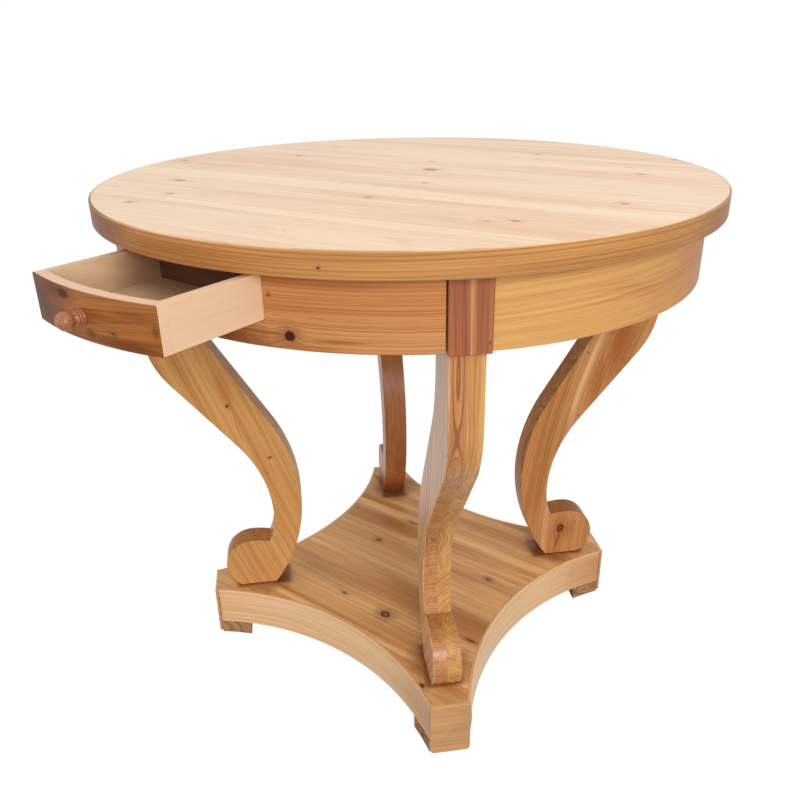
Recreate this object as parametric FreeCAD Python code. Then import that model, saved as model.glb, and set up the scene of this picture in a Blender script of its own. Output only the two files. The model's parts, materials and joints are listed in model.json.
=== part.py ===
"""Round centre table of knotty softwood, drawn with its drawer pulled part way out.

An edge-banded boarded top sits on a curved apron with four posts. Four scroll legs, each glued up from
two plies, carry the posts and stand on a plinth with concave sides and canted corners. One curved-front
drawer slides out of the apron. The origin is on the table's axis at floor level, +Z is up and the drawer
opens towards -Y.
"""
import FreeCAD, Part
import math
import os

# Driving dimensions, in millimetres and degrees.
TABLE_HEIGHT = 780.0

# Tabletop
TOP_DIAMETER = 890.0
TOP_THICKNESS = 30.0
TOP_BOARDS = 6
TOP_FIRST_BOARD = 160.0       # the front board's width, measured across the grain
TOP_LAST_BOARD = 84.0
TOP_GRAIN_ANGLE = 7.0         # the boards' turn away from the X axis
BAND_THICKNESS = 3.0

# Apron and posts
APRON_OVERHANG = 25.0         # the top's edge beyond the apron's face
APRON_HEIGHT = 88.0
APRON_THICKNESS = 20.0
APRON_SHRINKAGE = 1.5         # the open joint at one end of each apron
TONGUE_THICKNESS = 8.0
TONGUE_LENGTH = 10.0
TONGUE_SHOULDER = 12.0        # the apron's lower edge below its tongue
POST_WIDTH = 49.0
POST_DEPTH = 95.0
POST_PROUD = 2.0              # the post's flat face beyond the apron's face
POST_DROP = 2.0               # the post's foot below the apron's lower edge

# Crossed bearers under the top
BEARER_WIDTH = 45.0
BEARER_HEIGHT = 40.0
BEARER_TENON_WIDTH = 20.0
BEARER_TENON_LENGTH = 15.0
BEARER_SCREW_REACH = 110.0     # the inner screws' distance from the crossing
BEARER_SCREW_INSET = 77.0      # the outer screws' distance from the posts

# Drawer
DRAWER_WIDTH = 207.0
DRAWER_HEIGHT = 52.0
DRAWER_TAIL = 47.0            # the sides' run behind the back board
DRAWER_TOP_GAP = 5.0
DRAWER_SIDE_GAP = 1.0
DRAWER_RUN_GAP = 0.3
DRAWER_HELD = 71.0            # the sides' run behind the apron when the drawer stands open
FACING_THICKNESS = 2.0
FRONT_THICKNESS = 13.0
SIDE_THICKNESS = 10.0
BACK_THICKNESS = 10.0
BOTTOM_THICKNESS = 4.0
BOTTOM_LIFT = 6.0             # the bottom panel above the sides' lower edge
BOTTOM_GROOVE = 4.0

# Drawer knob, along its own axis from the drawer's face
KNOB_BEADS = ((9.6, 3.0), (9.1, 2.5), (8.2, 2.2))   # each bead's radius and width
KNOB_BEAD_GROOVE = 0.5
KNOB_NECK_RADIUS = 5.4
KNOB_NECK_LENGTH = 2.0
KNOB_BALL_RADIUS = 10.2
KNOB_BALL_FLAT = 2.0          # the radius of the turned flat on the ball's end
KNOB_BALL_RINGS = 7
KNOB_SIDES = 20

# Drawer carriage
RUNNER_WALL = 17.0
RUNNER_LEDGE = 14.0           # the ledge's reach under the drawer's side
RUNNER_LEDGE_HEIGHT = 12.0
RAIL_THICKNESS = 18.0
RAIL_GAP = 0.5
RAIL_CLEARANCE = 23.18        # from the stop rail's corners forward of the crossed bearers
RUNNER_SCREW_INSET = 30.0

# Legs
LEG_PLY_THICKNESS = 21.0
LEG_SETBACK = 10.0            # the leg's outer face behind the apron's face
LEG_TOP_WIDTH = 78.0
LEG_WAIST_WIDTH = 48.5
LEG_SHOULDER_DROP = 95.0
LEG_INNER_SHOULDER_DROP = 45.0
LEG_WAIST_RISE = 137.0
LEG_INNER_WAIST_RISE = 165.0
LEG_STRAIGHT = 148.0          # the straight run between the two bends of each edge
LEG_SHOULDER_SHARE = 0.38     # the upper bend's part of the two bends' radii
LEG_NECK_RADIUS = 125.0
LEG_HEEL_RADIUS = 280.0
SCROLL_RADIUS = 48.0
SCROLL_FLAT = 25.0            # half the flat on which the scroll stands
SCROLL_CROWN_RADIUS = 120.0
SCROLL_OFFSET = 41.0          # the scroll's centre beyond the waist's outer face
SCROLL_SETBACK = 24.0         # the scroll's front behind the plinth's corner
LEG_TENON_THICKNESS = 20.0
LEG_TENON_WIDTH = 34.0
LEG_TENON_LENGTH = 35.0

# Plinth and feet
PLINTH_HEIGHT = 67.0
PLINTH_PANEL = 22.0
PLINTH_CORNER = 353.0         # the canted corners' distance from the axis
PLINTH_CANT = 59.0
PLINTH_WAIST = 203.0          # the concave sides' least distance from the axis
PLINTH_FACING = 5.0
PLINTH_BEARER_WIDTH = 46.0
PLINTH_BOARDS = 4
PLINTH_FIRST_BOARD = 68.0
PLINTH_LAST_BOARD = 148.0
CAP_CLEARANCE = 1.0           # the corner caps' lower edge above the floor
CAP_ROUND = 6.0               # the caps' rounded lower corners
FOOT_HEIGHT = 24.0
FOOT_DEPTH = 56.0

# Screws
SCREW_RADIUS = 2.4
SCREW_HEAD_RADIUS = 4.6
SCREW_HEAD_HEIGHT = 3.0
SCREW_SIDES = 6
SCREW_BITE = 20.0             # how far a screw enters the piece that it holds
LEG_SCREW_SPREAD = 18.0
FOOT_SCREW_RECESS = 8.0
KNOB_SCREW_RADIUS = 2.0
KNOB_SCREW_HEAD_RADIUS = 4.0
KNOB_SCREW_BITE = 14.0

# Places worked out from the driving dimensions
TOP_RADIUS = TOP_DIAMETER / 2
TOP_UNDERSIDE = TABLE_HEIGHT - TOP_THICKNESS
APRON_RADIUS = TOP_RADIUS - APRON_OVERHANG
APRON_INSIDE = APRON_RADIUS - APRON_THICKNESS
APRON_BOTTOM = TOP_UNDERSIDE - APRON_HEIGHT
POST_BOTTOM = APRON_BOTTOM - POST_DROP
POST_FACE = APRON_RADIUS + POST_PROUD
POST_INSIDE = POST_FACE - POST_DEPTH
PLINTH_TOP = FOOT_HEIGHT + PLINTH_HEIGHT
PANEL_BOTTOM = PLINTH_TOP - PLINTH_PANEL
CAP_BACK = PLINTH_CORNER - PLINTH_FACING
DRAWER_TOP = TOP_UNDERSIDE - DRAWER_TOP_GAP
DRAWER_FLOOR = DRAWER_TOP - DRAWER_HEIGHT
DRAWER_HALF = DRAWER_WIDTH / 2
OPENING_HALF = DRAWER_HALF + DRAWER_SIDE_GAP
FRONT_OUTSIDE = APRON_RADIUS - FACING_THICKNESS
FRONT_INSIDE = FRONT_OUTSIDE - FRONT_THICKNESS
RUNNER_TOP = DRAWER_FLOOR - DRAWER_RUN_GAP
RUNNER_BOTTOM = RUNNER_TOP - RUNNER_LEDGE_HEIGHT
RUNNER_OUTSIDE = OPENING_HALF + RUNNER_WALL
RAIL_BACK = -(RUNNER_OUTSIDE + BEARER_WIDTH / math.sqrt(2) + RAIL_CLEARANCE)
RAIL_FRONT = RAIL_BACK - RAIL_THICKNESS
DRAWER_LENGTH = APRON_RADIUS + RAIL_FRONT - RAIL_GAP - DRAWER_TAIL   # its face to its back's outer face
DRAWER_OPEN = DRAWER_LENGTH + DRAWER_TAIL - APRON_THICKNESS - DRAWER_HELD
LEG_FACE = APRON_RADIUS - LEG_SETBACK
SCROLL_REACH = PLINTH_CORNER - SCROLL_SETBACK - SCROLL_RADIUS
SCROLL_HEIGHT = PLINTH_TOP + math.sqrt(SCROLL_RADIUS ** 2 - SCROLL_FLAT ** 2)
WAIST_FACE = SCROLL_REACH - SCROLL_OFFSET
REACH = 2 * TABLE_HEIGHT + 2 * TOP_DIAMETER   # longer than anything, for cutting blocks

CORNERS = {"front_right": -45.0, "rear_right": 45.0, "rear_left": 135.0, "front_left": -135.0}
SIDES = {"front": -90.0, "right": 0.0, "rear": 90.0, "left": 180.0}


def point(x, y, z=0.0):
    return FreeCAD.Vector(x, y, z)


def block(x0, x1, y0, y1, z0, z1):
    """A box between two values on each axis."""
    return Part.makeBox(x1 - x0, y1 - y0, z1 - z0, point(x0, y0, z0))


def drum(radius, z0, z1):
    """An upright cylinder on the table's axis."""
    return Part.makeCylinder(radius, z1 - z0, point(0, 0, z0))


def turned(shape, angle):
    """A copy turned about the table's axis."""
    copy = shape.copy()
    copy.rotate(point(0, 0), point(0, 0, 1), angle)
    return copy


def moved(shape, x, y, z):
    copy = shape.copy()
    copy.translate(point(x, y, z))
    return copy


def line(start, end):
    return Part.LineSegment(start, end).toShape()


def arc(start, middle, end):
    return Part.Arc(start, middle, end).toShape()


def face(edges):
    return Part.Face(Part.Wire(edges))


def polygon(points):
    return [line(a, b) for a, b in zip(points, points[1:] + points[:1])]


def ring_of_points(radius, z, sides):
    turns = [2 * math.pi * (k + 0.5) / sides for k in range(sides)]
    return [point(radius * math.cos(a), radius * math.sin(a), z) for a in turns]


def rod(radius, z0, z1, sides):
    """A many-sided rod along the Z axis."""
    return face(polygon(ring_of_points(radius, z0, sides))).extrude(point(0, 0, z1 - z0))


def joined(first, *others):
    return first.fuse(list(others)).removeSplitter()


def boards(panel, reach, first, last, count, angle):
    """Cuts a panel into edge-glued boards at an angle to the X axis; all but the outer two are alike."""
    width = (2 * reach - first - last) / (count - 2)
    edges = [-reach] + [first - reach + k * width for k in range(count - 1)] + [reach]
    strips = []
    for low, high in zip(edges, edges[1:]):
        strip = turned(block(-REACH, REACH, low, high, -REACH, REACH), angle)
        strips.append(panel.common(strip))
    return strips


def wood_screw(length, radius=SCREW_RADIUS, head=SCREW_HEAD_RADIUS):
    """A sunk-head screw along +Z with its head's flat at the origin."""
    shank = rod(radius, SCREW_HEAD_HEIGHT, length, SCREW_SIDES)
    return joined(rod(head, 0, SCREW_HEAD_HEIGHT, SCREW_SIDES), shank)


def crossed_bars(half_length, width, low, high):
    """Two bars along the diagonals, halved into each other where they cross."""
    bar = block(-half_length, half_length, -width / 2, width / 2, low, high)
    middle = (low + high) / 2
    upper = bar.cut(block(-width / 2, width / 2, -width, width, low, middle))
    lower = bar.cut(block(-width / 2, width / 2, -width, width, middle, high))
    return upper, lower


def bearer_tenons():
    """Both tenons of a bearer that lies along the X axis."""
    half = BEARER_TENON_WIDTH / 2
    low = TOP_UNDERSIDE - BEARER_HEIGHT
    tenon = block(POST_INSIDE, POST_INSIDE + BEARER_TENON_LENGTH, -half, half, low, TOP_UNDERSIDE)
    return tenon, turned(tenon, 180)


def tongue(side, gap):
    """An apron's tongue, seen from a post on the X axis; side is the side of the post, +1 or -1."""
    middle = math.sqrt((APRON_RADIUS - APRON_THICKNESS / 2) ** 2 - (POST_WIDTH / 2) ** 2)
    near = POST_WIDTH / 2 - TONGUE_LENGTH
    far = POST_WIDTH / 2 + gap
    y0, y1 = sorted((side * near, side * far))
    half = TONGUE_THICKNESS / 2
    return block(middle - half, middle + half, y0, y1, APRON_BOTTOM + TONGUE_SHOULDER, TOP_UNDERSIDE)


def apron():
    """One curved apron, centred on the X axis, with a tongue at each end."""
    shrunk = POST_WIDTH / 2 + APRON_SHRINKAGE
    ends = ((POST_WIDTH / 2, -1), (shrunk, 1))

    def corner(radius, offset, side):
        angle = side * (math.radians(45) - math.asin(offset / radius))
        return point(radius * math.cos(angle), radius * math.sin(angle), APRON_BOTTOM)

    outer = [corner(APRON_RADIUS, *end) for end in ends]
    inner = [corner(APRON_INSIDE, *end) for end in ends]
    outline = [
        arc(outer[0], point(APRON_RADIUS, 0, APRON_BOTTOM), outer[1]),
        line(outer[1], inner[1]),
        arc(inner[1], point(APRON_INSIDE, 0, APRON_BOTTOM), inner[0]),
        line(inner[0], outer[0]),
    ]
    body = face(outline).extrude(point(0, 0, APRON_HEIGHT))
    return joined(body, turned(tongue(1, 0), -45), turned(tongue(-1, APRON_SHRINKAGE), 45))


def drawer_opening():
    """The notch in the front apron, open to the top's underside."""
    return block(-OPENING_HALF, OPENING_HALF, -REACH, -APRON_INSIDE / 2,
                 DRAWER_FLOOR - DRAWER_SIDE_GAP, TOP_UNDERSIDE + APRON_HEIGHT)


def leg_tenon(reach, low):
    """Half of a leg's tenon, in the ply on the +Y side of a leg on the X axis."""
    return block(reach - LEG_TENON_WIDTH / 2, reach + LEG_TENON_WIDTH / 2, 0, LEG_TENON_THICKNESS / 2,
                 low, low + LEG_TENON_LENGTH)


def swan_curve(top_reach, top, low_reach, low):
    """An edge that leaves upright, leans inwards through two bends and a straight run, and ends upright."""
    inward = top_reach - low_reach
    drop = top - low
    radii = (inward ** 2 + drop ** 2 - LEG_STRAIGHT ** 2) / (2 * inward)
    upper = LEG_SHOULDER_SHARE * radii
    lower = radii - upper
    turn = math.atan2(drop, radii - inward) - math.atan2(LEG_STRAIGHT, radii)

    def shoulder(angle):
        return point(top_reach - upper + upper * math.cos(angle), 0, top - upper * math.sin(angle))

    def waist(angle):
        return point(low_reach + lower - lower * math.cos(angle), 0, low + lower * math.sin(angle))

    return [
        arc(shoulder(0), shoulder(turn / 2), shoulder(turn)),
        line(shoulder(turn), waist(turn)),
        arc(waist(turn), waist(turn / 2), waist(0)),
    ]


def circles_meet(reach_a, height_a, radius_a, reach_b, height_b, radius_b):
    """The crossing of two circles that lies nearer the table's axis."""
    dx, dz = reach_b - reach_a, height_b - height_a
    span = math.hypot(dx, dz)
    along = (radius_a ** 2 - radius_b ** 2 + span ** 2) / (2 * span)
    across = math.sqrt(radius_a ** 2 - along ** 2)
    foot_x, foot_z = reach_a + along * dx / span, height_a + along * dz / span
    crossings = [(foot_x + s * across * dz / span, foot_z - s * across * dx / span) for s in (1, -1)]
    return min(crossings)


def on_circle(reach, height, radius, x, side):
    """A point of an upright circle at distance x from the table's axis, on its upper or lower side."""
    return point(x, 0, height + side * math.sqrt(radius ** 2 - (x - reach) ** 2))


def leg_profile():
    """The scroll leg's outline on the XZ plane, outer edge first."""
    waist_height = PLINTH_TOP + LEG_WAIST_RISE
    inner_waist = WAIST_FACE - LEG_WAIST_WIDTH
    inner_top = LEG_FACE - LEG_TOP_WIDTH
    inner_waist_height = PLINTH_TOP + LEG_INNER_WAIST_RISE
    neck_reach = WAIST_FACE + LEG_NECK_RADIUS
    crown_top = SCROLL_HEIGHT + SCROLL_RADIUS
    crown_height = crown_top - SCROLL_CROWN_RADIUS
    notch_x, notch_z = circles_meet(neck_reach, waist_height, LEG_NECK_RADIUS,
                                    SCROLL_REACH, crown_height, SCROLL_CROWN_RADIUS)
    notch = point(notch_x, 0, notch_z)
    neck_half = math.asin((waist_height - notch_z) / LEG_NECK_RADIUS) / 2
    neck_middle = point(neck_reach - LEG_NECK_RADIUS * math.cos(neck_half), 0,
                        waist_height - LEG_NECK_RADIUS * math.sin(neck_half))
    crown = point(SCROLL_REACH, 0, crown_top)
    crown_middle = on_circle(SCROLL_REACH, crown_height, SCROLL_CROWN_RADIUS,
                             (notch_x + SCROLL_REACH) / 2, 1)
    scroll_front = point(SCROLL_REACH + SCROLL_RADIUS, 0, SCROLL_HEIGHT)
    toe = point(SCROLL_REACH + SCROLL_FLAT, 0, PLINTH_TOP)
    heel_centre = inner_waist + LEG_HEEL_RADIUS
    heel_angle = math.asin(LEG_INNER_WAIST_RISE / LEG_HEEL_RADIUS)

    def heel(angle):
        return point(heel_centre - LEG_HEEL_RADIUS * math.cos(angle), 0,
                     inner_waist_height - LEG_HEEL_RADIUS * math.sin(angle))

    outer = swan_curve(LEG_FACE, POST_BOTTOM - LEG_SHOULDER_DROP, WAIST_FACE, waist_height)
    inner = swan_curve(inner_top, POST_BOTTOM - LEG_INNER_SHOULDER_DROP, inner_waist, inner_waist_height)
    outer_top = point(LEG_FACE, 0, POST_BOTTOM)
    inner_head = point(inner_top, 0, POST_BOTTOM)
    return [
        line(outer_top, point(LEG_FACE, 0, POST_BOTTOM - LEG_SHOULDER_DROP)),
        *outer,
        arc(point(WAIST_FACE, 0, waist_height), neck_middle, notch),
        arc(notch, crown_middle, crown),
        arc(crown, scroll_front, toe),
        line(toe, heel(heel_angle)),
        arc(heel(heel_angle), heel(heel_angle / 2), heel(0)),
        *reversed(inner),
        line(point(inner_top, 0, POST_BOTTOM - LEG_INNER_SHOULDER_DROP), inner_head),
        line(inner_head, outer_top),
    ]


def leg_seat():
    """The middle of the leg's flat foot, as a distance from the table's axis."""
    inner_waist = WAIST_FACE - LEG_WAIST_WIDTH
    heel = inner_waist + LEG_HEEL_RADIUS - math.sqrt(LEG_HEEL_RADIUS ** 2 - LEG_INNER_WAIST_RISE ** 2)
    return (heel + SCROLL_REACH + SCROLL_FLAT) / 2


def leg_ply():
    """The ply on the +Y side of a leg on the X axis, with half of each tenon."""
    body = face(leg_profile()).extrude(point(0, LEG_PLY_THICKNESS, 0))
    head = leg_tenon(LEG_FACE - LEG_TOP_WIDTH / 2, POST_BOTTOM)
    foot = leg_tenon(leg_seat(), PLINTH_TOP - LEG_TENON_LENGTH)
    return joined(body, head, foot)


def other_ply(ply):
    """The mirror image of a ply, across the leg's middle plane."""
    return ply.mirror(point(0, 0), point(0, 1, 0))


def both_tenons(half):
    return joined(half, other_ply(half))


def plinth_side_radius():
    """The radius of the concave side through two corners and the waist."""
    half = PLINTH_CANT / 2
    across = (PLINTH_CORNER - half) / math.sqrt(2)
    rise = (PLINTH_CORNER + half) / math.sqrt(2) - PLINTH_WAIST
    return (across ** 2 + rise ** 2) / (2 * rise)


def plinth_corner(inset):
    """The two coordinates of a canted corner's end, on a plan drawn in by inset all round."""
    radius = plinth_side_radius()
    centre = PLINTH_WAIST + radius
    corner = PLINTH_CORNER - inset
    shifted = math.sqrt(2) * centre
    rest = corner ** 2 - shifted * corner + centre ** 2 - (radius + inset) ** 2
    half = (shifted - math.sqrt(shifted ** 2 - 4 * rest)) / 2
    return (corner - half) / math.sqrt(2), (corner + half) / math.sqrt(2)


def plinth_block(inset, low, high):
    """The plinth's plan, drawn in by inset all round, as a solid between two heights."""
    near, far = plinth_corner(inset)
    edges = []
    for angle in SIDES.values():
        side = arc(point(far, -near, low), point(PLINTH_WAIST - inset, 0, low), point(far, near, low))
        cant = line(point(far, near, low), point(near, far, low))
        edges += [turned(side, angle), turned(cant, angle)]
    return face(edges).extrude(point(0, 0, high - low))


def corner_slab(inner, outer, low, high):
    """A block across the X axis between two distances from the table's axis."""
    return block(inner, outer, -PLINTH_CORNER, PLINTH_CORNER, low, high)


def corner_cap():
    """The cap of a canted corner on the X axis, with its two lower corners rounded."""
    plan = turned(plinth_block(0, CAP_CLEARANCE, PLINTH_TOP), 45)
    cap = plan.common(corner_slab(CAP_BACK, PLINTH_CORNER, CAP_CLEARANCE, PLINTH_TOP))
    half = cap.BoundBox.YMax
    low = CAP_CLEARANCE + CAP_ROUND
    inner = half - CAP_ROUND
    bend = CAP_ROUND * math.sqrt(0.5)
    outline = [
        line(point(CAP_BACK, half, PLINTH_TOP), point(CAP_BACK, half, low)),
        arc(point(CAP_BACK, half, low), point(CAP_BACK, inner + bend, low - bend),
            point(CAP_BACK, inner, CAP_CLEARANCE)),
        line(point(CAP_BACK, inner, CAP_CLEARANCE), point(CAP_BACK, -inner, CAP_CLEARANCE)),
        arc(point(CAP_BACK, -inner, CAP_CLEARANCE), point(CAP_BACK, -inner - bend, low - bend),
            point(CAP_BACK, -half, low)),
        line(point(CAP_BACK, -half, low), point(CAP_BACK, -half, PLINTH_TOP)),
        line(point(CAP_BACK, -half, PLINTH_TOP), point(CAP_BACK, half, PLINTH_TOP)),
    ]
    return cap.common(face(outline).extrude(point(PLINTH_FACING, 0, 0)))


def knob_sections():
    """Heights and radii along the knob: three beads, a neck and a ball with a small flat on its end."""
    sections = []
    z = 0.0
    for radius, width in KNOB_BEADS:
        sections += [(z, radius - KNOB_BEAD_GROOVE), (z + width / 2, radius)]
        z += width
    sections.append((z, KNOB_BEADS[-1][0] - KNOB_BEAD_GROOVE))
    z += KNOB_NECK_LENGTH
    first = math.asin(KNOB_NECK_RADIUS / KNOB_BALL_RADIUS)
    last = math.pi - math.asin(KNOB_BALL_FLAT / KNOB_BALL_RADIUS)
    centre = z + KNOB_BALL_RADIUS * math.cos(first)
    for k in range(KNOB_BALL_RINGS + 1):
        angle = first + (last - first) * k / KNOB_BALL_RINGS
        sections.append((centre - KNOB_BALL_RADIUS * math.cos(angle), KNOB_BALL_RADIUS * math.sin(angle)))
    return sections


def drawer_knob():
    """The turned knob along +Z, as a shell of flat facets between its many-sided sections."""
    rings = [ring_of_points(radius, z, KNOB_SIDES) for z, radius in knob_sections()]
    facets = [face(polygon(rings[0])), face(polygon(rings[-1]))]
    for low, high in zip(rings, rings[1:]):
        for k in range(KNOB_SIDES):
            facets.append(face(polygon([low[k - 1], low[k], high[k], high[k - 1]])))
    shell = Part.Shell(facets)
    shell.sewShape()
    return Part.Solid(shell)


def on_drawer_face(shape):
    """Lays a shape made along +Z against the closed drawer's face, pointing out."""
    copy = shape.copy()
    copy.rotate(point(0, 0), point(1, 0, 0), 90)
    return moved(copy, 0, -APRON_RADIUS, (DRAWER_FLOOR + DRAWER_TOP) / 2)


def build_top(nodes):
    inside = TOP_RADIUS - BAND_THICKNESS
    disc = drum(inside, TOP_UNDERSIDE, TABLE_HEIGHT)
    strips = boards(disc, inside, TOP_FIRST_BOARD, TOP_LAST_BOARD, TOP_BOARDS, TOP_GRAIN_ANGLE)
    for number, strip in enumerate(strips, 1):
        nodes["top_board_%d" % number] = strip
    rim = drum(TOP_RADIUS, TOP_UNDERSIDE, TABLE_HEIGHT)
    nodes["top_edge_band"] = rim.cut(disc)


def build_frame(nodes):
    """Crossed bearers, posts and aprons, which carry the top."""
    bearers = crossed_bars(POST_INSIDE, BEARER_WIDTH, TOP_UNDERSIDE - BEARER_HEIGHT, TOP_UNDERSIDE)
    for name, bar, angle in zip(("top_bearer_a", "top_bearer_b"), bearers, (-45, 45)):
        nodes[name] = turned(joined(bar, *bearer_tenons()), angle)
    screw = wood_screw(BEARER_HEIGHT + SCREW_BITE)
    reaches = (BEARER_SCREW_REACH, POST_INSIDE - BEARER_SCREW_INSET)
    nodes["bearer_screws"] = [
        turned(moved(screw, reach, 0, TOP_UNDERSIDE - BEARER_HEIGHT), angle)
        for angle in CORNERS.values() for reach in reaches]
    post = block(POST_INSIDE, POST_FACE, -POST_WIDTH / 2, POST_WIDTH / 2, POST_BOTTOM, TOP_UNDERSIDE)
    mortise = both_tenons(leg_tenon(LEG_FACE - LEG_TOP_WIDTH / 2, POST_BOTTOM))
    post = post.cut([mortise, bearer_tenons()[0], tongue(1, 0), tongue(-1, 0)])
    for name, angle in CORNERS.items():
        nodes["post_" + name] = turned(post, angle)
    for name, angle in SIDES.items():
        nodes["apron_" + name] = turned(apron(), angle)
    nodes["apron_front"] = nodes["apron_front"].cut(drawer_opening())


def build_carriage(nodes):
    """The rebated runners and the rail that stops the drawer, hung from the top."""
    inside = drum(APRON_INSIDE, RUNNER_BOTTOM, TOP_UNDERSIDE)
    ledge_end = DRAWER_HALF - RUNNER_LEDGE
    wall = block(OPENING_HALF, RUNNER_OUTSIDE, -APRON_RADIUS, RAIL_FRONT, RUNNER_BOTTOM, TOP_UNDERSIDE)
    ledge = block(ledge_end, OPENING_HALF, -APRON_RADIUS, RAIL_FRONT, RUNNER_BOTTOM, RUNNER_TOP)
    runner = joined(wall, ledge).common(inside)
    nodes["drawer_runner_right"] = runner
    nodes["drawer_runner_left"] = runner.mirror(point(0, 0), point(1, 0, 0))
    nodes["drawer_stop_rail"] = block(-RUNNER_OUTSIDE, RUNNER_OUTSIDE, RAIL_FRONT, RAIL_BACK,
                                      RUNNER_BOTTOM, TOP_UNDERSIDE)
    screw = wood_screw(TOP_UNDERSIDE - RUNNER_BOTTOM + SCREW_BITE)
    middle = OPENING_HALF + RUNNER_WALL / 2
    front = -math.sqrt(APRON_INSIDE ** 2 - RUNNER_OUTSIDE ** 2) + RUNNER_SCREW_INSET
    nodes["runner_screws"] = [moved(screw, side * middle, y, RUNNER_BOTTOM)
                              for side in (1, -1) for y in (front, RAIL_FRONT - RUNNER_SCREW_INSET)]


def build_drawer(nodes):
    """The drawer, drawn closed and then slid out."""
    span = block(-DRAWER_HALF, DRAWER_HALF, -APRON_RADIUS, -APRON_INSIDE / 2, DRAWER_FLOOR, DRAWER_TOP)
    back_outside = -APRON_RADIUS + DRAWER_LENGTH
    inner_half = DRAWER_HALF - SIDE_THICKNESS
    panel_low = DRAWER_FLOOR + BOTTOM_LIFT
    panel_high = panel_low + BOTTOM_THICKNESS
    facing = span.common(drum(APRON_RADIUS, DRAWER_FLOOR, DRAWER_TOP))
    facing = facing.cut(drum(FRONT_OUTSIDE, DRAWER_FLOOR, DRAWER_TOP))
    front = span.common(drum(FRONT_OUTSIDE, DRAWER_FLOOR, DRAWER_TOP))
    front = front.cut(drum(FRONT_INSIDE, DRAWER_FLOOR, DRAWER_TOP))
    groove_half = inner_half + BOTTOM_GROOVE
    bottom = block(-groove_half, groove_half, -APRON_RADIUS, back_outside, panel_low, panel_high)
    bottom = bottom.common(drum(FRONT_INSIDE + BOTTOM_GROOVE, panel_low, panel_high))
    tail_end = back_outside + DRAWER_TAIL
    side = block(inner_half, DRAWER_HALF, -APRON_RADIUS, tail_end, DRAWER_FLOOR, DRAWER_TOP)
    side = side.common(drum(FRONT_INSIDE, DRAWER_FLOOR, DRAWER_TOP)).cut(bottom)
    screw_length = FACING_THICKNESS + FRONT_THICKNESS + KNOB_SCREW_BITE
    screw = moved(wood_screw(screw_length, KNOB_SCREW_RADIUS, KNOB_SCREW_HEAD_RADIUS),
                  0, 0, -FACING_THICKNESS - FRONT_THICKNESS)
    screw = on_drawer_face(screw)
    closed = {
        "drawer_facing": facing.cut(screw),
        "drawer_front": front.cut([bottom, screw]),
        "drawer_side_right": side,
        "drawer_side_left": side.mirror(point(0, 0), point(1, 0, 0)),
        "drawer_back": block(-inner_half, inner_half, back_outside - BACK_THICKNESS, back_outside,
                             panel_high, DRAWER_TOP),
        "drawer_bottom": bottom,
        "drawer_knob": on_drawer_face(drawer_knob()).cut(screw),
        "knob_screw": screw,
    }
    for name, shape in closed.items():
        nodes[name] = moved(shape, 0, -DRAWER_OPEN, 0)


def build_legs(nodes):
    right = leg_ply()
    left = other_ply(right)
    for name, angle in CORNERS.items():
        nodes["leg_%s_ply_a" % name] = turned(left, angle)
        nodes["leg_%s_ply_b" % name] = turned(right, angle)
    screw = wood_screw(PLINTH_HEIGHT)
    across = LEG_TENON_THICKNESS / 4
    pair = [moved(screw, leg_seat() + side * LEG_SCREW_SPREAD / 2, side * across, FOOT_HEIGHT)
            for side in (1, -1)]
    nodes["leg_screws"] = [turned(one, angle) for angle in CORNERS.values() for one in pair]


def build_plinth(nodes):
    """A boarded panel on crossed bearers, faced on the concave sides and capped on the corners."""
    panel = plinth_block(PLINTH_FACING, PANEL_BOTTOM, PLINTH_TOP)
    mortise = both_tenons(leg_tenon(leg_seat(), PLINTH_TOP - LEG_TENON_LENGTH))
    mortises = [turned(mortise, angle) for angle in CORNERS.values()]
    reach = plinth_corner(PLINTH_FACING)[1]
    strips = boards(panel.cut(mortises), reach, PLINTH_FIRST_BOARD, PLINTH_LAST_BOARD, PLINTH_BOARDS, 0)
    for number, strip in enumerate(strips, 1):
        nodes["plinth_board_%d" % number] = strip
    bars = crossed_bars(CAP_BACK, PLINTH_BEARER_WIDTH, FOOT_HEIGHT, PANEL_BOTTOM)
    for name, bar, angle in zip(("plinth_bearer_a", "plinth_bearer_b"), bars, (-45, 45)):
        nodes[name] = turned(bar, angle).cut(mortises)
    slabs = [turned(corner_slab(CAP_BACK, REACH, -REACH, REACH), angle) for angle in CORNERS.values()]
    rim = plinth_block(0, FOOT_HEIGHT, PLINTH_TOP)
    rim = rim.cut(plinth_block(PLINTH_FACING, FOOT_HEIGHT, PLINTH_TOP)).cut(slabs)
    half = corner_slab(0, PLINTH_CORNER, FOOT_HEIGHT, PLINTH_TOP)
    for name, angle in SIDES.items():
        strips = [one.common(turned(half, angle)) for one in rim.Solids]
        nodes["plinth_facing_" + name] = max(strips, key=lambda strip: strip.Volume)
    nodes["plinth_corner_caps"] = [turned(corner_cap(), angle) for angle in CORNERS.values()]


def build_feet(nodes):
    plan = turned(plinth_block(0, 0, FOOT_HEIGHT), 45)
    foot = plan.common(corner_slab(PLINTH_CORNER - FOOT_DEPTH, CAP_BACK, 0, FOOT_HEIGHT))
    middle = PLINTH_CORNER - (FOOT_DEPTH + PLINTH_FACING) / 2
    screw = moved(wood_screw(FOOT_HEIGHT - FOOT_SCREW_RECESS + SCREW_BITE), middle, 0, FOOT_SCREW_RECESS)
    recess = moved(rod(SCREW_HEAD_RADIUS, 0, FOOT_SCREW_RECESS, SCREW_SIDES), middle, 0, 0)
    for name, angle in CORNERS.items():
        nodes["foot_" + name] = turned(foot.cut(recess), angle)
    nodes["foot_screws"] = [turned(screw, angle) for angle in CORNERS.values()]


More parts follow.
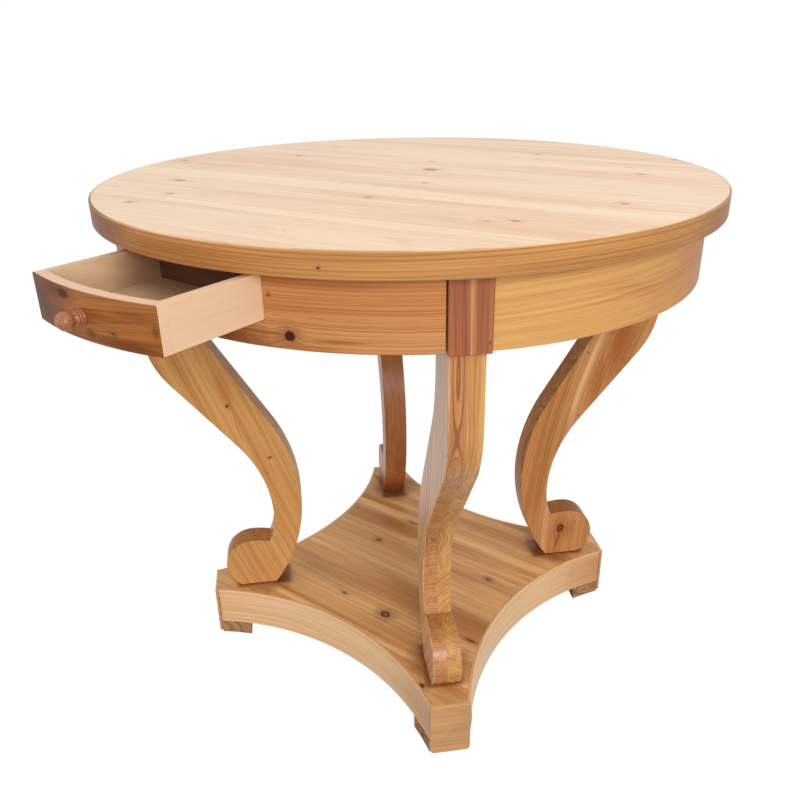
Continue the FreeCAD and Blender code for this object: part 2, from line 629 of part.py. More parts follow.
def fit_screws(nodes):
    """Cuts each group of screws out of the pieces that it passes through."""
    passes = {
        "bearer_screws": ("top_board", "top_bearer"),
        "runner_screws": ("top_board", "drawer_runner"),
        "leg_screws": ("leg_front", "leg_rear", "plinth_bearer"),
        "foot_screws": ("foot_front", "foot_rear", "plinth_bearer"),
    }
    for screws, pieces in passes.items():
        for name in nodes:
            if name.startswith(pieces):
                nodes[name] = nodes[name].cut(nodes[screws])


def main():
    nodes = {}
    builders = (build_top, build_frame, build_carriage, build_drawer, build_legs, build_plinth, build_feet)
    for build in builders:
        build(nodes)
    fit_screws(nodes)
    os.makedirs("parts", exist_ok=True)
    for name, shape in nodes.items():
        if isinstance(shape, list):
            shape = Part.makeCompound(shape)
        shape.exportStep("parts/%s.step" % name)
        print(name, len(shape.Solids), round(shape.Volume))


main()
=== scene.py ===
"""A round centre table of waxed knotty softwood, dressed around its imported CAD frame.

The frame gives every size and place. Bent boards, the edge band, the scroll legs and the turned knob are
worked out as surfaces; sawn pieces are welded copies of the frame's solids with their arrises eased. The wood
is one growth-ring pattern, cut by each piece's own faces, with a heart, a slope and knots of its own.
"""

import json
import math
from types import SimpleNamespace

import bmesh
import bpy
import numpy as np
from mathutils import Matrix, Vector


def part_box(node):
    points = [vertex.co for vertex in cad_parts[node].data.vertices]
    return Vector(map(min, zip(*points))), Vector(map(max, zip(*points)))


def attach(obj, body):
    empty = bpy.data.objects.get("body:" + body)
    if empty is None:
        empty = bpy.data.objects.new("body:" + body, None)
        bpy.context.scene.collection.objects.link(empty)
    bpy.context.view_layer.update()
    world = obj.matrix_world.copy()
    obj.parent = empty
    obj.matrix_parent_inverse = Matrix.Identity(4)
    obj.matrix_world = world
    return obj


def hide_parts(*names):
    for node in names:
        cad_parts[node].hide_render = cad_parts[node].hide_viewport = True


bl_info = {
    "name": "Round centre table",
    "version": (1, 0, 0),
    "blender": (4, 5, 0),
    "location": "3D View > Sidebar > Table",
    "description": "Dresses a round softwood centre table with one drawer around its CAD frame",
    "category": "Object",
}

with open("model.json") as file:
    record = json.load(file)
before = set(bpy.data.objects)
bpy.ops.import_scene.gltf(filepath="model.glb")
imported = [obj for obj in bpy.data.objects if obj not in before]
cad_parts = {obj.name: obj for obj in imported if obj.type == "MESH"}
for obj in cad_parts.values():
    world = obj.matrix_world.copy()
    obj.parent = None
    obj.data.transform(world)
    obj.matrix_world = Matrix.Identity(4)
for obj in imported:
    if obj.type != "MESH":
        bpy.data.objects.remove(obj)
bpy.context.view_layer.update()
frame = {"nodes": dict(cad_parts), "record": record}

MM = 0.001
CORNERS = {"front_right": -45.0, "rear_right": 45.0, "rear_left": 135.0, "front_left": -135.0}
SIDES = {"front": -90.0, "right": 0.0, "rear": 90.0, "left": 180.0}
BODY_OF = {node: body for body, nodes in frame["record"]["behaviour"]["bodies"].items() for node in nodes}

ORIGIN = (0.0, 0.0, 0.0)
WHITE = (1.0, 1.0, 1.0)
UP = np.array([0.0, 0.0, 1.0])

WELD = 0.01 * MM
FLAT = math.radians(0.3)
SHARP = math.radians(32.0)
BEVEL_STEPS = 3
ARC_STATIONS = 64
BAND_STATIONS = 240
ON_ARC = 0.1 * MM
GLUE_LINE_EASE = 0.15
CAP_STEPS = 6


def length(name, description, default):
    """A size in metres."""
    return bpy.props.FloatProperty(
        name=name, description=description, default=default, unit="LENGTH", precision=4)


def colour(name, description, default):
    """A colour in linear light."""
    return bpy.props.FloatVectorProperty(
        name=name, description=description, default=default, subtype="COLOR", min=0.0, max=1.0)


def share(name, description, default):
    """A part of one."""
    return bpy.props.FloatProperty(
        name=name, description=description, default=default, subtype="FACTOR", min=0.0, max=1.0)


def power(name, description, default):
    """A lamp's power in watts."""
    return bpy.props.FloatProperty(name=name, description=description, default=default, subtype="POWER")


class TableSizes(bpy.types.PropertyGroup):
    """Sizes of the finish: eased arrises, and the plinth's corners and facings."""

    board_arris: length("Board arris", "Rounding of the edges of sawn boards", 1.2 * MM)
    drawer_arris: length("Drawer arris", "Rounding of the edges of the drawer's thin boards", 0.4 * MM)
    facing_arris: length("Facing arris", "Rounding of the edges of the drawer's facing", 0.3 * MM)
    leg_arris: length("Leg arris", "Rounding of the outer edges of the leg plies", 1.4 * MM)
    band_arris: length("Band arris", "Rounding of the edge band's top and bottom", 1.6 * MM)
    plinth_cant: length("Plinth cant", "Width of the plinth's canted corners", 59.0 * MM)
    plinth_facing: length("Plinth facing", "Thickness of the plinth's concave facings", 5.0 * MM)
    cap_round: length("Cap rounding", "Radius of the corner caps' lower corners", 6.0 * MM)


class TableColours(bpy.types.PropertyGroup):
    """Colours of the wood's pale early growth in each finish, and of the steel."""

    top: colour("Top", "Pale waxed boards of the top", (0.950, 0.695, 0.458))
    band: colour("Edge band", "Golden brown edge band", (0.600, 0.300, 0.100))
    apron_orange: colour("Front apron", "Orange brown bent board", (0.620, 0.285, 0.104))
    apron_golden: colour("Side aprons", "Golden yellow bent board", (0.720, 0.400, 0.140))
    post: colour("Posts", "Red brown heartwood", (0.400, 0.135, 0.057))
    leg_golden: colour("Golden plies", "Golden plies of the legs", (0.740, 0.390, 0.137))
    # Sapwood tone, which also paints sheen and light on the front leg's broad face.
    leg_sapwood: colour("Pale face", "Sapwood of the legs", (0.930, 0.535, 0.270))
    leg_brown: colour("Brown plies", "Browner plies of the legs", (0.620, 0.295, 0.108))
    leg_red: colour("Red plies", "Reddish plies of the legs", (0.500, 0.205, 0.078))
    plinth: colour("Plinth", "Golden brown boards of the plinth", (0.900, 0.515, 0.208))
    facing: colour("Plinth facing", "Pale facings of the plinth", (0.920, 0.585, 0.312))
    cap: colour("Corner caps", "Caps over the plinth's corners", (0.630, 0.356, 0.158))
    foot: colour("Feet", "End grain of the feet", (0.540, 0.285, 0.130))
    drawer_box: colour("Drawer box", "Plain pale boards of the drawer", (0.820, 0.545, 0.345))
    # Painted shade: the drawer's inner boards are darker than its outer ones, standing in for the shade
    # inside the drawer.
    drawer_inside: colour("Drawer inside", "Inside boards, darkened as painted shade", (0.670, 0.460, 0.285))
    # Painted shade: the drawer's back board gets a dark tone that stands in for the shadow of the top.
    drawer_back: colour("Drawer back", "Back board of the drawer, dark with painted shade", (0.120, 0.050, 0.035))
    drawer_facing: colour("Drawer facing", "Figured brown facing", (0.440, 0.165, 0.042))
    knob: colour("Knob", "Turned red brown knob", (0.410, 0.158, 0.066))
    inner: colour("Inner work", "Unpolished bearers and runners", (0.62, 0.40, 0.22))
    steel: colour("Steel", "Screws", (0.50, 0.49, 0.47))


class StageSettings(bpy.types.PropertyGroup):
    """Camera and soft studio light."""

    camera_place: bpy.props.FloatVectorProperty(
        name="Camera place", description="Where the camera stands", default=(0.7123, -0.9711, 0.9749),
        subtype="TRANSLATION")
    camera_turn: bpy.props.FloatVectorProperty(
        name="Camera turn", description="Heading, tilt and roll of the camera",
        default=(math.radians(37.093), math.radians(65.075), math.radians(-0.947)), subtype="EULER")
    lens: bpy.props.FloatProperty(
        name="Lens", description="Focal length in millimetres", default=35.93, min=1.0)
    sky: share("Sky", "Level of the even light from all round", 0.50)
    key: power("Key", "Power of the large lamp at the right of the camera", 76.0)
    front: power("Front", "Power of the weak low lamp at the left of the camera", 14.0)
    overhead: power("Overhead", "Power of the large lamp above the table", 16.0)
    floor_tone: share("Floor tone", "Reflectance of the floor", 0.25)
    floor_shadow: share("Floor shadow", "Share of the floor's look that takes the shadow", 0.16)


class CentreTable(bpy.types.PropertyGroup):
    """All settings of the table."""

    sizes: bpy.props.PointerProperty(type=TableSizes, name="Sizes", description="Sizes of the finish")
    colours: bpy.props.PointerProperty(type=TableColours, name="Colours", description="The finishes' colours")
    stage: bpy.props.PointerProperty(type=StageSettings, name="Stage", description="Camera and light")


def along_z(value):
    """A height as a place, or an angle about the upright axis as a turn."""
    return (0.0, 0.0, value)


def compass(degrees):
    """Level unit vector at this angle from the X axis."""
    return np.array([math.cos(math.radians(degrees)), math.sin(math.radians(degrees)), 0.0])


def boards(prefix):
    """The CAD nodes whose names start like this, in order, counted from 1."""
    return enumerate(sorted(node for node in frame["nodes"] if node.startswith(prefix)), 1)


def points_of(node):
    """All corners of a CAD node's triangles, one row each."""
    mesh = frame["nodes"][node].data
    points = np.empty(3 * len(mesh.vertices))
    mesh.vertices.foreach_get("co", points)
    return points.reshape(-1, 3)


def polar(points, centre, towards):
    """Radius and angle of points about an upright axis, with the angle counted from the direction towards."""
    x = points[:, 0] - centre[0]
    y = points[:, 1] - centre[1]
    angle = (np.arctan2(y, x) - towards + np.pi) % (2.0 * np.pi) - np.pi
    return np.hypot(x, y), angle


def grid_faces(rows, columns):
    """Corner numbers of each quad on a grid of points that closes on itself along its columns."""
    i, j = np.meshgrid(np.arange(rows - 1), np.arange(columns), indexing="ij")
    k = (j + 1) % columns
    quads = np.stack(
        [i * columns + j, i * columns + k, (i + 1) * columns + k, (i + 1) * columns + j], axis=-1)
    return quads.reshape(-1, 4)


def new_mesh(name, points, faces):
    """A mesh of these points and faces, shaded smooth up to its sharp edges."""
    mesh = bpy.data.meshes.new(name)
    mesh.from_pydata(points.tolist(), [], faces)
    return smoothed(mesh)


def smoothed(mesh):
    """Shades a mesh smooth and keeps its arrises sharp."""
    mesh.polygons.foreach_set("use_smooth", np.ones(len(mesh.polygons), bool))
    mesh.set_sharp_from_angle(angle=SHARP)
    return mesh


def place(mesh, node, material, arris=0.0, by_weight=False):
    """Puts a finished mesh in the scene for a CAD node: it rides on that node's body and takes this material.
    """
    piece = bpy.data.objects.new(node + "_finished", mesh)
    bpy.context.scene.collection.objects.link(piece)
    mesh.materials.clear()
    mesh.materials.append(material)
    if arris > 0.0:
        bevel = piece.modifiers.new("Eased arrises", "BEVEL")
        bevel.width = arris
        bevel.segments = BEVEL_STEPS
        bevel.limit_method = "WEIGHT" if by_weight else "ANGLE"
        bevel.angle_limit = SHARP
        bevel.use_clamp_overlap = False
        bevel.harden_normals = True
    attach(piece, BODY_OF[node])
    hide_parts(node)
    return piece


def paint(node, material):
    """Gives a CAD node that stays as it is a better material."""
    mesh = frame["nodes"][node].data
    mesh.materials.clear()
    mesh.materials.append(material)


def welded(node):
    """A copy of a CAD node's triangles with its doubles merged and its flat faces made whole."""
    form = bmesh.new()
    form.from_mesh(frame["nodes"][node].data)
    bmesh.ops.remove_doubles(form, verts=form.verts, dist=WELD)
    bmesh.ops.dissolve_limit(form, angle_limit=FLAT, verts=form.verts, edges=form.edges)
    return form


def eased_copy(node, material, arris):
    """A sawn piece: the welded copy of the CAD solid, with every arris rounded."""
    form = welded(node)
    mesh = bpy.data.meshes.new(node + "_finished")
    form.to_mesh(mesh)
    form.free()
    return place(smoothed(mesh), node, material, arris)


def stations(breaks, counts):
    """Angles that run evenly between each pair of breaks."""
    runs = [np.linspace(a, b, n, endpoint=False) for a, b, n in zip(breaks[:-1], breaks[1:], counts)]
    return np.concatenate(runs + [breaks[-1:]])


def bent_board(node, centre, towards, material, arris, gap=None):
    """A board bent round an upright axis, with an opening cut down from its top edge where gap is given.

    A point of either face is the centre plus the face's radius times (cos, sin) of its angle, at a height.
    The two faces stand on the same grid of angles and heights, and are joined along every edge between a
    cell that is wood and one that isn't. Radii, end angles and heights are the CAD node's own. The gap is
    (half its width, height of its floor), and its cheeks are square to the middle of the board.
    """
    points = points_of(node)
    radius, angle = polar(points, centre, towards)
    heights = [points[:, 2].min(), points[:, 2].max()]
    counts = [ARC_STATIONS]
    if gap:
        heights.insert(1, gap[1])
        counts = [ARC_STATIONS // 2] * 3
    faces_of_board = []
    for face_radius in (radius.max(), radius.min()):
        on_face = angle[np.abs(radius - face_radius) < ON_ARC]
        breaks = [on_face.min(), on_face.max()]
        if gap:
            cheek = math.asin(gap[0] / face_radius)
            breaks = [breaks[0], -cheek, cheek, breaks[1]]
        around, height = np.meshgrid(stations(np.array(breaks), counts) + towards, heights, indexing="ij")
        x = centre[0] + face_radius * np.cos(around)
        y = centre[1] + face_radius * np.sin(around)
        faces_of_board.append(np.stack([x, y, height], axis=-1))
    rows, columns = faces_of_board[0].shape[:2]
    wood = np.ones((rows - 1, columns - 1), bool)
    if gap:
        wood[counts[0]:counts[0] + counts[1], 1] = False
    return place(shell_mesh(node, *faces_of_board, wood), node, material, arris)


def shell_mesh(name, outer, inner, wood):
    """A closed shell between two faces on the same grid, made of the cells that are wood.

    Each wood cell gives one quad on the outer face and one, turned round, on the inner face. Where the
    neighbour on a side isn't wood, one more quad joins the two faces along that side.
    """
    rows, columns = outer.shape[:2]
    front = np.arange(rows * columns).reshape(rows, columns)
    back = front + rows * columns
    around = np.pad(wood, 1)
    i, j = np.nonzero(wood)
    quads = [
        np.stack([front[i, j], front[i + 1, j], front[i + 1, j + 1], front[i, j + 1]], axis=-1),
        np.stack([back[i, j], back[i, j + 1], back[i + 1, j + 1], back[i + 1, j]], axis=-1)]
    sides = (
        (around[1:-1, :-2], (0, 0), (1, 0)),
        (around[1:-1, 2:], (1, 1), (0, 1)),
        (around[:-2, 1:-1], (0, 1), (0, 0)),
        (around[2:, 1:-1], (1, 0), (1, 1)))
    for neighbour, (a, b), (c, d) in sides:
        i, j = np.nonzero(wood & ~neighbour)
        quads.append(np.stack([
            front[i + a, j + b], back[i + a, j + b], back[i + c, j + d], front[i + c, j + d]], axis=-1))
    points = np.concatenate([outer.reshape(-1, 3), inner.reshape(-1, 3)])
    used, faces = np.unique(np.concatenate(quads), return_inverse=True)
    return new_mesh(name + "_finished", points[used], faces.reshape(-1, 4).tolist())


def turned_ring(node, material, arris):
    """The edge band: an upright strip with rounded outer arrises, carried round the table's axis.

    A point is (r cos a, r sin a, z), where (r, z) runs round the strip's section: square at the joint with
    the boards, and a quarter circle at the outer top and bottom.
    """
    points = points_of(node)
    radius = np.hypot(points[:, 0], points[:, 1])
    low, high = points[:, 2].min(), points[:, 2].max()
    turn = np.linspace(0.0, np.pi / 2.0, BEVEL_STEPS + 2)
    rim = radius.max() - arris
    section = np.concatenate([
        [[radius.min(), low]],
        np.stack([rim + arris * np.sin(turn), low + arris - arris * np.cos(turn)], axis=-1),
        np.stack([rim + arris * np.cos(turn), high - arris + arris * np.sin(turn)], axis=-1),
        [[radius.min(), high]]])
    angle, step = np.meshgrid(
        np.linspace(0.0, 2.0 * np.pi, BAND_STATIONS, endpoint=False), np.arange(len(section)), indexing="ij")
    r, z = section[step, 0], section[step, 1]
    ring = np.stack([r * np.cos(angle), r * np.sin(angle), z], axis=-1)
    ring = np.concatenate([ring, ring[:1]])
    rows, columns = ring.shape[:2]
    faces = grid_faces(rows, columns) % ((rows - 1) * columns)
    mesh = new_mesh(node + "_finished", ring[:-1].reshape(-1, 3), faces[:, ::-1].tolist())
    return place(mesh, node, material)


KNOB_BEADS = ((0.00, 0.12, 0.79), (0.12, 0.24, 0.75), (0.24, 0.35, 0.69))
BEAD_RISE = 0.06
NECK_END, NECK_RADIUS, NECK_DIP = 0.46, 0.64, 0.04
BALL_MIDDLE = 0.73
BALL_TIP = 0.02
BALL_STEPS, PROFILE_STEPS, KNOB_STATIONS = 40, 15, 48


def turned_knob(node, material):
    """The drawer's knob, turned on a lathe: three beads at its base, a neck and a flattened ball.

    A point is (r cos a, -s, r sin a) from the middle of the knob's base, where the radius r follows the
    distance s along the axis: a half circle for each bead, a sine dip for the neck, an ellipse for the ball.
    A bead is (start, end, radius at its foot), as shares of the knob's length and of its largest radius.
    """
    low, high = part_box(node)
    middle = (np.array(low) + np.array(high)) / 2.0
    whole = high.y - low.y
    widest = (high.x - low.x) / 2.0
    steps = np.linspace(0.0, 1.0, PROFILE_STEPS)
    parts = [(start + (end - start) * steps, foot + BEAD_RISE * np.sin(np.pi * steps))
             for start, end, foot in KNOB_BEADS]
    neck_start = KNOB_BEADS[-1][1]
    neck = neck_start + (NECK_END - neck_start) * steps
    parts.append((neck, NECK_RADIUS - NECK_DIP * np.sin(np.pi * steps)))
    ball_turn = np.linspace(np.arcsin(NECK_RADIUS), np.pi - BALL_TIP, BALL_STEPS)
    ball_length = (BALL_MIDDLE - NECK_END) / np.cos(np.arcsin(NECK_RADIUS))
    parts.append((BALL_MIDDLE - ball_length * np.cos(ball_turn), np.sin(ball_turn)))
    along, radius = np.concatenate([np.array(part) for part in parts], axis=1)
    along = along / along.max()
    angle = np.linspace(0.0, 2.0 * np.pi, KNOB_STATIONS, endpoint=False)
    s, a = np.meshgrid(along * whole, angle, indexing="ij")
    r = widest * radius[:, None] * np.ones_like(a)
    points = np.stack([middle[0] + r * np.cos(a), high.y - s, middle[2] + r * np.sin(a)], axis=-1)
    rows, columns = points.shape[:2]
    faces = grid_faces(rows, columns).tolist()
    faces.append(list(range(columns))[::-1])
    faces.append(list(range((rows - 1) * columns, rows * columns)))
    return place(new_mesh(node + "_finished", points.reshape(-1, 3), faces), node, material)


def leg_ply(node, outward, material, arris):
    """One ply of a scroll leg: its outline carried straight across from its broad face to the glue line.

    The outline is the CAD node's widest flat face. The broad face's arris is rounded in full and the glue
    line's by a little, so that the two plies meet in a fine line.
    """
    form = welded(node)
    facing = [face for face in form.faces if face.normal.dot(outward) > 1.0 - WELD]
    broad = max(facing, key=lambda face: face.calc_area())
    outline = np.array([corner_point.co[:] for corner_point in broad.verts])
    form.free()
    across = np.array(outward)
    glue_line = outline - (outline @ across)[:, None] * across
    mesh = slab_mesh(node, [outline], [glue_line], GLUE_LINE_EASE)
    return place(mesh, node, material, arris, by_weight=True)


def slab_mesh(node, fronts, backs, back_ease):
    """Flat slabs, each between a front outline and a back outline of as many points, joined point by point.

    The front's edge takes the whole of the arris that the piece is given later, and the back's edge a share.
    """
    count = len(fronts[0])
    here = np.arange(count)
    ahead = (here + 1) % count
    sides = np.stack([here, here + count, ahead + count, ahead], axis=-1)
    points, faces = [], []
    for number, (front, back) in enumerate(zip(fronts, backs)):
        start = 2 * count * number
        points += [front, back]
        faces += (sides + start).tolist() + [(here + start).tolist(), (here[::-1] + count + start).tolist()]
    mesh = new_mesh(node + "_finished", np.concatenate(points), faces)
    ends = np.empty(2 * len(mesh.edges), np.int32)
    mesh.edges.foreach_get("vertices", ends)
    on_back = ends.reshape(-1, 2) % (2 * count) >= count
    weight = np.where(on_back.all(axis=1), back_ease, np.where(on_back.any(axis=1), 0.0, 1.0))
    mesh.attributes.new("bevel_weight_edge", "FLOAT", "EDGE").data.foreach_set("value", weight)
    return mesh


def corner_caps(node, rounding, material, arris):
    """Caps on the plinth's canted corners: upright plates whose lower corners are quarter circles.

    A point is the radial direction times its depth, plus the tangent times u, at height z. The outline runs
    round (u, z) with the square top and two quarter circles below, and widens a little towards the back.
    """
    points = points_of(node)
    first = CORNERS["front_right"]
    depth = points @ compass(first)
    sideways = points @ compass(first + 90.0)
    face, low, high = depth.max(), points[:, 2].min(), points[:, 2].max()
    on_cap = (depth > 0.0) & (np.abs(sideways) < face / 4.0)
    back = depth[on_cap].min()
    turn = np.linspace(0.0, np.pi / 2.0, CAP_STEPS)
    fronts, backs = [], []
    for angle in CORNERS.values():
        for reach, outlines in ((face, fronts), (back, backs)):
            half = sideways[on_cap & (np.abs(depth - reach) < ON_ARC)].max()
            corner_u = half - rounding + rounding * np.sin(turn)
            corner_z = low + rounding - rounding * np.cos(turn)
            u = np.concatenate([[-half], -corner_u[::-1], corner_u, [half]])
            z = np.concatenate([[high], corner_z[::-1], corner_z, [high]])
            outlines.append(reach * compass(angle) + np.outer(u, compass(angle + 90.0)) + np.outer(z, UP))
    return place(slab_mesh(node, fronts, backs, 0.0), node, material, arris, by_weight=True)


def both_ways(operation):
    """Two methods that add a Math node: value with other, and other with value."""
    return (lambda self, other: self.wire.math(operation, self, other),
            lambda self, other: self.wire.math(operation, other, self))


class Value:
    """An output socket. Arithmetic on it adds Math nodes, so that a pattern reads as a formula."""

    __add__, __radd__ = both_ways("ADD")
    __sub__, __rsub__ = both_ways("SUBTRACT")
    __mul__, __rmul__ = both_ways("MULTIPLY")
    __truediv__, __rtruediv__ = both_ways("DIVIDE")

    def __init__(self, wire, socket):
        self.wire = wire
        self.socket = socket

    def __abs__(self):
        return self.wire.math("ABSOLUTE", self)


class Wiring:
    """Adds nodes to one tree and links them."""

    def __init__(self, tree):
        self.tree = tree

    def feed(self, socket, value):
        """Links a value to a socket, or sets the socket's own constant."""
        if isinstance(value, Value):
            value = value.socket
        if isinstance(value, bpy.types.NodeSocket):
            self.tree.links.new(value, socket)
        else:
            socket.default_value = value

    def fill(self, node, values):
        """Feeds a node's sockets by name."""
        for name, value in values.items():
            self.feed(node.inputs[name], value)

    def add(self, kind, *values, **settings):
        """A node with these settings, its first sockets fed in order."""
        node = self.tree.nodes.new(kind)
        for key, value in settings.items():
            setattr(node, key, value)
        for socket, value in zip(node.inputs, values):
            self.feed(socket, value)
        return node

    def use(self, group_name, **values):
        """The outputs of a shader group that is fed these values."""
        node = self.add("ShaderNodeGroup", node_tree=group(group_name))
        self.fill(node, {label(key): value for key, value in values.items()})
        return self.by_key(node)

    def by_key(self, node):
        """A node's outputs as values, under keys such as ring_width."""
        return SimpleNamespace(
            **{socket.name.lower().replace(" ", "_"): Value(self, socket) for socket in node.outputs})

    def outputs(self, node):
        """A node's outputs as values, in order."""
        return [Value(self, socket) for socket in node.outputs]

    def math(self, operation, *values):
        return Value(self, self.add("ShaderNodeMath", *values, operation=operation).outputs[0])

    def hypot(self, a, b):
        return self.math("SQRT", a * a + b * b)

    def split(self, vector):
        return self.outputs(self.add("ShaderNodeSeparateXYZ", vector))

    def join(self, x, y, z):
        return Value(self, self.add("ShaderNodeCombineXYZ", x, y, z).outputs[0])

    def stretch(self, vector, factors):
        return Value(self, self.add("ShaderNodeVectorMath", vector, factors, operation="MULTIPLY").outputs[0])

    def noise(self, vector, detail=2.0, roughness=0.5):
        """Noise of one cycle per unit: its level, and its colour."""
        node = self.add("ShaderNodeTexNoise", vector)
        self.fill(node, {"Scale": 1.0, "Detail": detail, "Roughness": roughness})
        return self.outputs(node)

    def figure(self, place, along, across, *fineness):
        """Noise drawn out along the grain, from its cycles per metre along and across."""
        return self.noise(self.stretch(place, (along, across, across)), *fineness)

    def rise(self, value, low, high):
        """Goes smoothly from 0 to 1 as value goes from low to high."""
        node = self.add("ShaderNodeMapRange", value, low, high, interpolation_type="SMOOTHSTEP")
        return Value(self, node.outputs[0])

    def fall(self, value, low, high):
        """Goes smoothly from 1 to 0 as value goes from low to high."""
        return 1.0 - self.rise(value, low, high)

    def mix(self, factor, a, b, blend="MIX"):
        """Colour a with colour b laid over it."""
        node = self.add("ShaderNodeMix", data_type="RGBA", blend_type=blend)
        for number, value in ((0, factor), (6, a), (7, b)):
            self.feed(node.inputs[number], value)
        return Value(self, node.outputs[2])


SOCKET_KINDS = {1: "NodeSocketFloat", 3: "NodeSocketVector", 4: "NodeSocketColor"}


def label(key):
    """The name that a socket shows: Ring Width for ring_width."""
    return key.replace("_", " ").title()


def new_group(name, inputs, outputs):
    """An empty shader group: its wiring, its inputs as values and its output sockets.

    A number, a triple or a colour of four sets an input's kind and default. An output has only its size.
    """
    tree = bpy.data.node_groups.new(name, "ShaderNodeTree")
    for key, default in inputs.items():
        kind = SOCKET_KINDS[len(default) if isinstance(default, tuple) else 1]
        tree.interface.new_socket(name=label(key), in_out="INPUT", socket_type=kind).default_value = default
    for socket_name, size in outputs.items():
        tree.interface.new_socket(name=socket_name, in_out="OUTPUT", socket_type=SOCKET_KINDS[size])
    wire = Wiring(tree)
    return wire, wire.by_key(wire.add("NodeGroupInput")), wire.add("NodeGroupOutput").inputs


def bent_grain_group():
    """Unrolls a bent board: length along the arc, height, and depth from the arc's radius."""
    wire, given, out = new_group("Bent grain", {"place": ORIGIN, "radius": 0.4}, {"Grain": 3})
    x, y, z = wire.split(given.place)
    along = wire.math("ARCTAN2", y, x) * given.radius
    wire.feed(out["Grain"], wire.join(along, z, wire.hypot(x, y) - given.radius))
    return wire.tree


MARK = {"along": 0.0, "across": 0.0, "size": 0.005, "stretch": 1.3, "strength": 1.0, "eye": 0.0}
RAGGED_GRAIN = (0.8, 1.3, 0.8)
RAGGED_LEAST, RAGGED_SPAN = 0.7, 0.6
CORE_EDGE, EYE_EDGE, HALO_EDGE = (0.65, 1.15), (0.2, 0.6), (0.5, 3.4)


def knot_group():
    """One knot: a dark core and a soft halo round a place in the grain, joined to those before it.

    Its reach is the distance from that place in sizes, shortened along the grain and made ragged by noise.
    """
    wire, given, out = new_group("Knot", dict(MARK, grain=ORIGIN, core=0.0, halo=0.0), {"Core": 1, "Halo": 1})
    x, y, _ = wire.split(given.grain)
    distance = wire.hypot((x - given.along) / given.stretch, y - given.across)
    finer = wire.add("ShaderNodeVectorMath", wire.stretch(given.grain, RAGGED_GRAIN), operation="SCALE")
    wire.feed(finer.inputs["Scale"], 1.0 / given.size)
    ragged = wire.noise(finer.outputs[0])[0]
    reach = distance / given.size * (RAGGED_LEAST + ragged * RAGGED_SPAN)
    core = wire.fall(reach, *CORE_EDGE) * (1.0 - given.eye * wire.fall(reach, *EYE_EDGE))
    halo = wire.fall(reach, *HALO_EDGE)
    wire.feed(out["Core"], wire.math("MAXIMUM", core * given.strength, given.core))
    wire.feed(out["Halo"], wire.math("MAXIMUM", halo * given.strength, given.halo))
    return wire.tree


SCROLL_SEAT = {"middle": 267.0 * MM, "half_length": 39.0 * MM, "half_width": 21.0 * MM, "reach": 16.0 * MM}


def seat_group():
    """Painted shade round the four scrolls' feet: 1 at a foot's outline, and 0 at a distance of reach from
    it.

    The feet stand on the diagonals, so the absolute values of x and y bring all four to one. Along its
    diagonal a foot is (x + y) / sqrt(2) = middle, give or take half_length; across it, (y - x) / sqrt(2).
    """
    wire, given, out = new_group("Seat", dict(SCROLL_SEAT, grain=ORIGIN), {"Shade": 1})
    x, y, _ = wire.split(given.grain)
    x, y = abs(x), abs(y)
    beyond = abs((x + y) / math.sqrt(2.0) - given.middle) - given.half_length
    aside = abs((y - x) / math.sqrt(2.0)) - given.half_width
    outside = wire.hypot(wire.math("MAXIMUM", beyond, 0.0), wire.math("MAXIMUM", aside, 0.0))
    wire.feed(out["Shade"], wire.fall(outside / given.reach, 0.0, 1.0))
    return wire.tree


NOWHERE = 9.0
SOFTWOOD = dict(
    seed=0.0, ring_width=0.006, heart_across=0.0, heart_depth=-0.07, slope=0.0, bow=0.0, dive=0.0,
    wander=0.02, contrast=0.5, warmth=0.4, fibre=0.3, streak=0.35, sap_across=0.0, sap_width=0.02, sap=0.0,
    arris=NOWHERE, bark=NOWHERE, polish=0.42, end=0.0)
DEEP = (0.40, 0.24, 0.14)
STAINED = (0.26, 0.17, 0.12)
TAN = (0.66, 0.50, 0.38)
BROWN = (0.54, 0.355, 0.225)
SHADY = (0.32, 0.23, 0.17)
# Painted contact shade round the scrolls' feet, and also the tone of the plinth's darker patches.
PAINTED_SHADE_AND_STAIN_TONE = (0.17, 0.10, 0.08)
WORN = (0.90, 0.84, 0.74)
TONES = {
    "pale": WHITE, "dark": (0.52, 0.33, 0.20), "warm": (0.88, 0.70, 0.55), "sapwood": (1.12, 1.20, 1.25),
    "knot": (0.08, 0.036, 0.045), "red": (0.70, 0.46, 0.34), "edge": WHITE}

DRIFT, FADE, CLOUD = (2.2, 6.0), (3.5, 28.0), (1.5, 17.0, 3.0)
FIBRE, STREAK = (10.0, 420.0, 3.0, 0.6), (2.6, 120.0, 4.0, 0.62)
FADE_EDGE, CLOUD_EDGE, STREAK_EDGE = (0.3, 0.62), (0.40, 0.68), (0.36, 0.70)
LATE_START, LATE_STOP = (0.48, 0.88), (0.93, 1.0)
KNOT_SWELL = 1.2
UNEVEN_RATE, UNEVEN_RINGS = 0.37, 2.4
YEAR_LEAST, FADE_LEAST = 0.45, 0.6
END_CUT, STRIPE_EDGE = (0.45, 0.95), (0.3, 1.0)
EDGE_LINE, WORN_LINE, SAPWOOD_AND_SHEEN_LINE = (-0.4 * MM, -0.1 * MM), (-1.7 * MM, -0.9 * MM), (-1.0 * MM, 0.0)
HALO_TINT, WORN_TINT = 0.5, 0.6
MATT, LATE_HEIGHT = 0.18, 0.6
MEAN = 0.5


